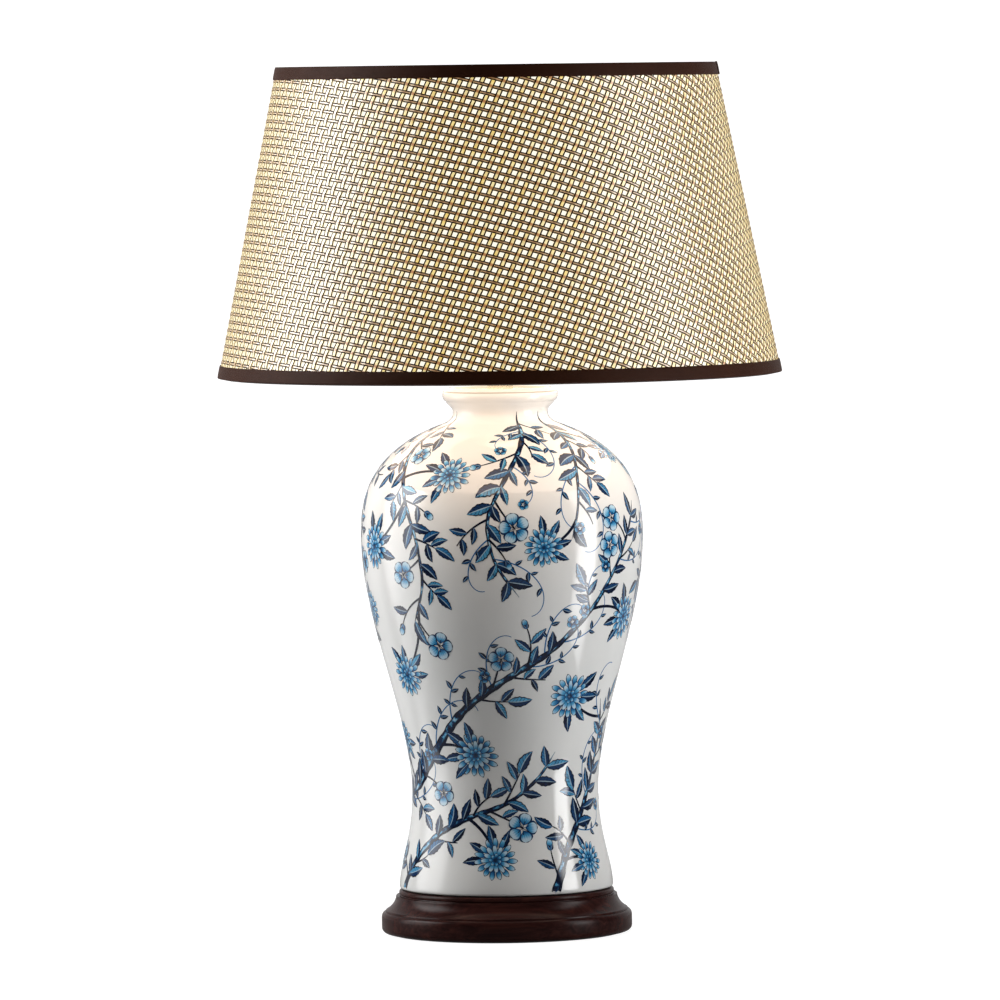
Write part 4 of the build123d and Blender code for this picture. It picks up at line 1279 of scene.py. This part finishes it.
def lapped(place):
    """The lap's outline: the tape's end, lying on its start."""
    top = [(-0.35, -0.6), (-0.3, 0.1), (0.1, 0.45), (3.0, 0.6), (6.5, 0.62), (9.8, 0.5)]
    hem = [(10.6, 0.3), (10.75, -0.1), (10.6, -0.3), (0.3, -0.3)]
    return [place(*p) for p in top + hem]


def flat_strip():
    """The outline of the strip that hides the join at the back of the cover."""
    low, high = TAPE_W - 0.3, SLANT - TAPE_W + 0.3
    outer = [from_bottom(up, -0.12) for up in np.linspace(low, high, 9)]
    inner = [from_bottom(up, -0.95) for up in np.linspace(high, low, 9)]
    return outer + inner


# %% Tapes, laps and the strip
LAP_TURN = 14.0 / SHADE_TOP_R
SEAM_TURN = 15.0 / SHADE_BOTTOM_R
RIGHT, BACK = 0.0, 0.5 * math.pi
top_tape = lathe("tape_top", folded(from_top), steps=240)
bottom_tape = lathe("tape_bottom", folded(from_bottom), steps=240)
top_lap = lathe("tape_top_lap", lapped(from_top), steps=8, start=RIGHT - 0.03, turn=LAP_TURN)
bottom_lap = lathe("tape_bottom_lap", lapped(from_bottom), steps=8, start=BACK - 0.02, turn=LAP_TURN)
seam = lathe("cover_seam", flat_strip(), steps=6, start=BACK + SEAM_TURN / 2, turn=SEAM_TURN)
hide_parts("top_trim")
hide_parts("bottom_trim")
taped = (top_tape, bottom_tape, top_lap, bottom_lap, seam)
for piece in taped:
    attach(piece, "shade")

# %% Tape finish
THREAD = 0.55 * MM
THREAD_R = 0.2  # metres, a middling radius of the shade
cotton, tree, shader = finish(
    "brown_cotton", Roughness=0.45, IOR=1.17, Sheen_Weight=0.02, Sheen_Roughness=0.5,
    Sheen_Tint=(0.7, 0.5, 0.42, 1.0),
)
parts = split(tree, add_node(tree, "TexCoord").outputs["Object"])
round_shade = maths(tree, "ARCTAN2", parts["X"], parts["Y"])
threads_round = maths(tree, "MULTIPLY", round_shade, THREAD_R * 2 * math.pi / THREAD)
threads_up = maths(tree, "MULTIPLY", parts["Z"], 2 * math.pi / THREAD)
twill = maths(tree, "SINE", maths(tree, "ADD", threads_round, threads_up))
thread = maths(tree, "SINE", maths(tree, "SUBTRACT", threads_round, threads_up))
cloth = maths(tree, "MULTIPLY_ADD", maths(tree, "MULTIPLY", twill, thread), 0.25, 0.5)
dye = ramp(tree, mottled(tree, 40.0, 3.0), (0.25, (0.027, 0.0060, 0.0016)), (0.75, (0.045, 0.0115, 0.0040)))
tree.links.new(mix_colour(tree, cloth, dye, (0.050, 0.0160, 0.0070)), shader.inputs["Base Color"])
bump(tree, shader, cloth, strength=0.35, distance=0.0003)
for piece in taped:
    wear(piece, cotton)

# %% [markdown]
# ## Fittings
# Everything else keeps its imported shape. Metals get fine turning marks, plastics a moulded skin.

# %% Finishes for the fittings
TURNING_MARKS = (1.0, 1.0, 400.0)


def metal(name, colour, rough):
    made, tree, shader = finish(name, Metallic=1.0, Roughness=rough)
    rings = streaked(tree, TURNING_MARKS, scale=6.0, detail=4.0)
    tone = mix_colour(tree, rings, tuple(0.8 * v for v in colour), colour)
    tree.links.new(tone, shader.inputs["Base Color"])
    tree.links.new(maths(tree, "MULTIPLY_ADD", rings, 0.2, rough - 0.1), shader.inputs["Roughness"])
    return made


def moulded(name, colour, rough, scale=300.0):
    made, tree, shader = finish(name, Roughness=rough)
    skin = mottled(tree, scale, 2.0)
    tone = mix_colour(tree, skin, tuple(0.85 * v for v in colour), colour)
    tree.links.new(tone, shader.inputs["Base Color"])
    bump(tree, shader, skin, strength=0.12, distance=0.0001)
    return made


# %% Dress the fittings
FITTED = {
    metal("polished_brass", (0.96, 0.90, 0.74), 0.22): (
        "vase_cap", "cap_nut", "neck_tube", "holder_cap", "holder_barrel", "screw_shell", "centre_contact",
        "terminal_screws",
    ),
    metal("zinc_steel", (0.62, 0.62, 0.60), 0.32): ("lamp_pipe", "plinth_washer", "plinth_nut"),
    metal("bulb_metal", (0.74, 0.74, 0.73), 0.25): ("bulb_cap", "bulb_contact"),
    metal("plated_wire", (0.76, 0.57, 0.28), 0.28): ("shade_carrier",),
    moulded("dark_plastic", (0.035, 0.018, 0.012), 0.3): ("shade_ring", "switch_bar", "cord_bush"),
    moulded("porcelain", (0.84, 0.83, 0.79), 0.25, 120.0): ("holder_insert",),
    moulded("white_enamel", (0.82, 0.82, 0.80), 0.35, 160.0): ("top_fitter", "bottom_wire"),
    moulded("black_seal", (0.015, 0.015, 0.016), 0.2): ("bulb_insulator",),
    moulded("gasket_rubber", (0.02, 0.02, 0.02), 0.7): ("foot_gasket",),
}
for material, names in FITTED.items():
    for name in names:
        wear(nodes[name], material)

# %% [markdown]
# ## Bulb
# The bulb is an opal one, lit. It warms the neck and the shoulder of the vase, and as with the lining, a
# camera that looks at it sees a calmer glow than the one it gives off.

# %% Lit bulb
opal, tree, shader = finish(
    "lit_opal", Base_Color=(0.20, 0.19, 0.17, 1.0), Roughness=0.25, Emission_Strength=3.6
)
warm = ramp(tree, mottled(tree, 25.0, 1.0), (0.2, (1.0, 0.72, 0.42)), (0.8, (1.0, 0.77, 0.48)))
to_camera = add_node(tree, "LightPath").outputs["Is Camera Ray"]
tree.links.new(mix_colour(tree, to_camera, warm, (0.222, 0.200, 0.153)), shader.inputs["Emission Color"])
wear(nodes["bulb_glass"], opal)

# %% [markdown]
# ## Felt
# A disc of wool felt keeps the plinth off the table. Its cut edge is soft, so it is turned again with a
# rounded edge, and its fuzz is a fine mottle that also lifts the surface.

# %% Felt
FELT_R, FELT_T, FELT_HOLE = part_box("base_felt")[1].x / MM, 1.5, 1.0
felt_under = [(FELT_HOLE, 0.05), (FELT_R - 0.5, 0.0), (FELT_R, 0.4)]
felt_over = [(FELT_R - 0.1, 1.3), (FELT_R - 0.6, FELT_T), (FELT_HOLE, FELT_T)]
felt = lathe("felt_disc", felt_under + felt_over, steps=160)
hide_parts("base_felt")
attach(felt, "base")
wool, tree, shader = finish("black_felt", Roughness=0.95, Sheen_Weight=0.4)
fuzz = mottled(tree, 900.0, 5.0)
fuzzy = ramp(tree, fuzz, (0.3, (0.008, 0.007, 0.007)), (0.7, (0.05, 0.045, 0.042)))
tree.links.new(fuzzy, shader.inputs["Base Color"])
bump(tree, shader, fuzz, strength=0.6, distance=0.0006)
wear(felt, wool)
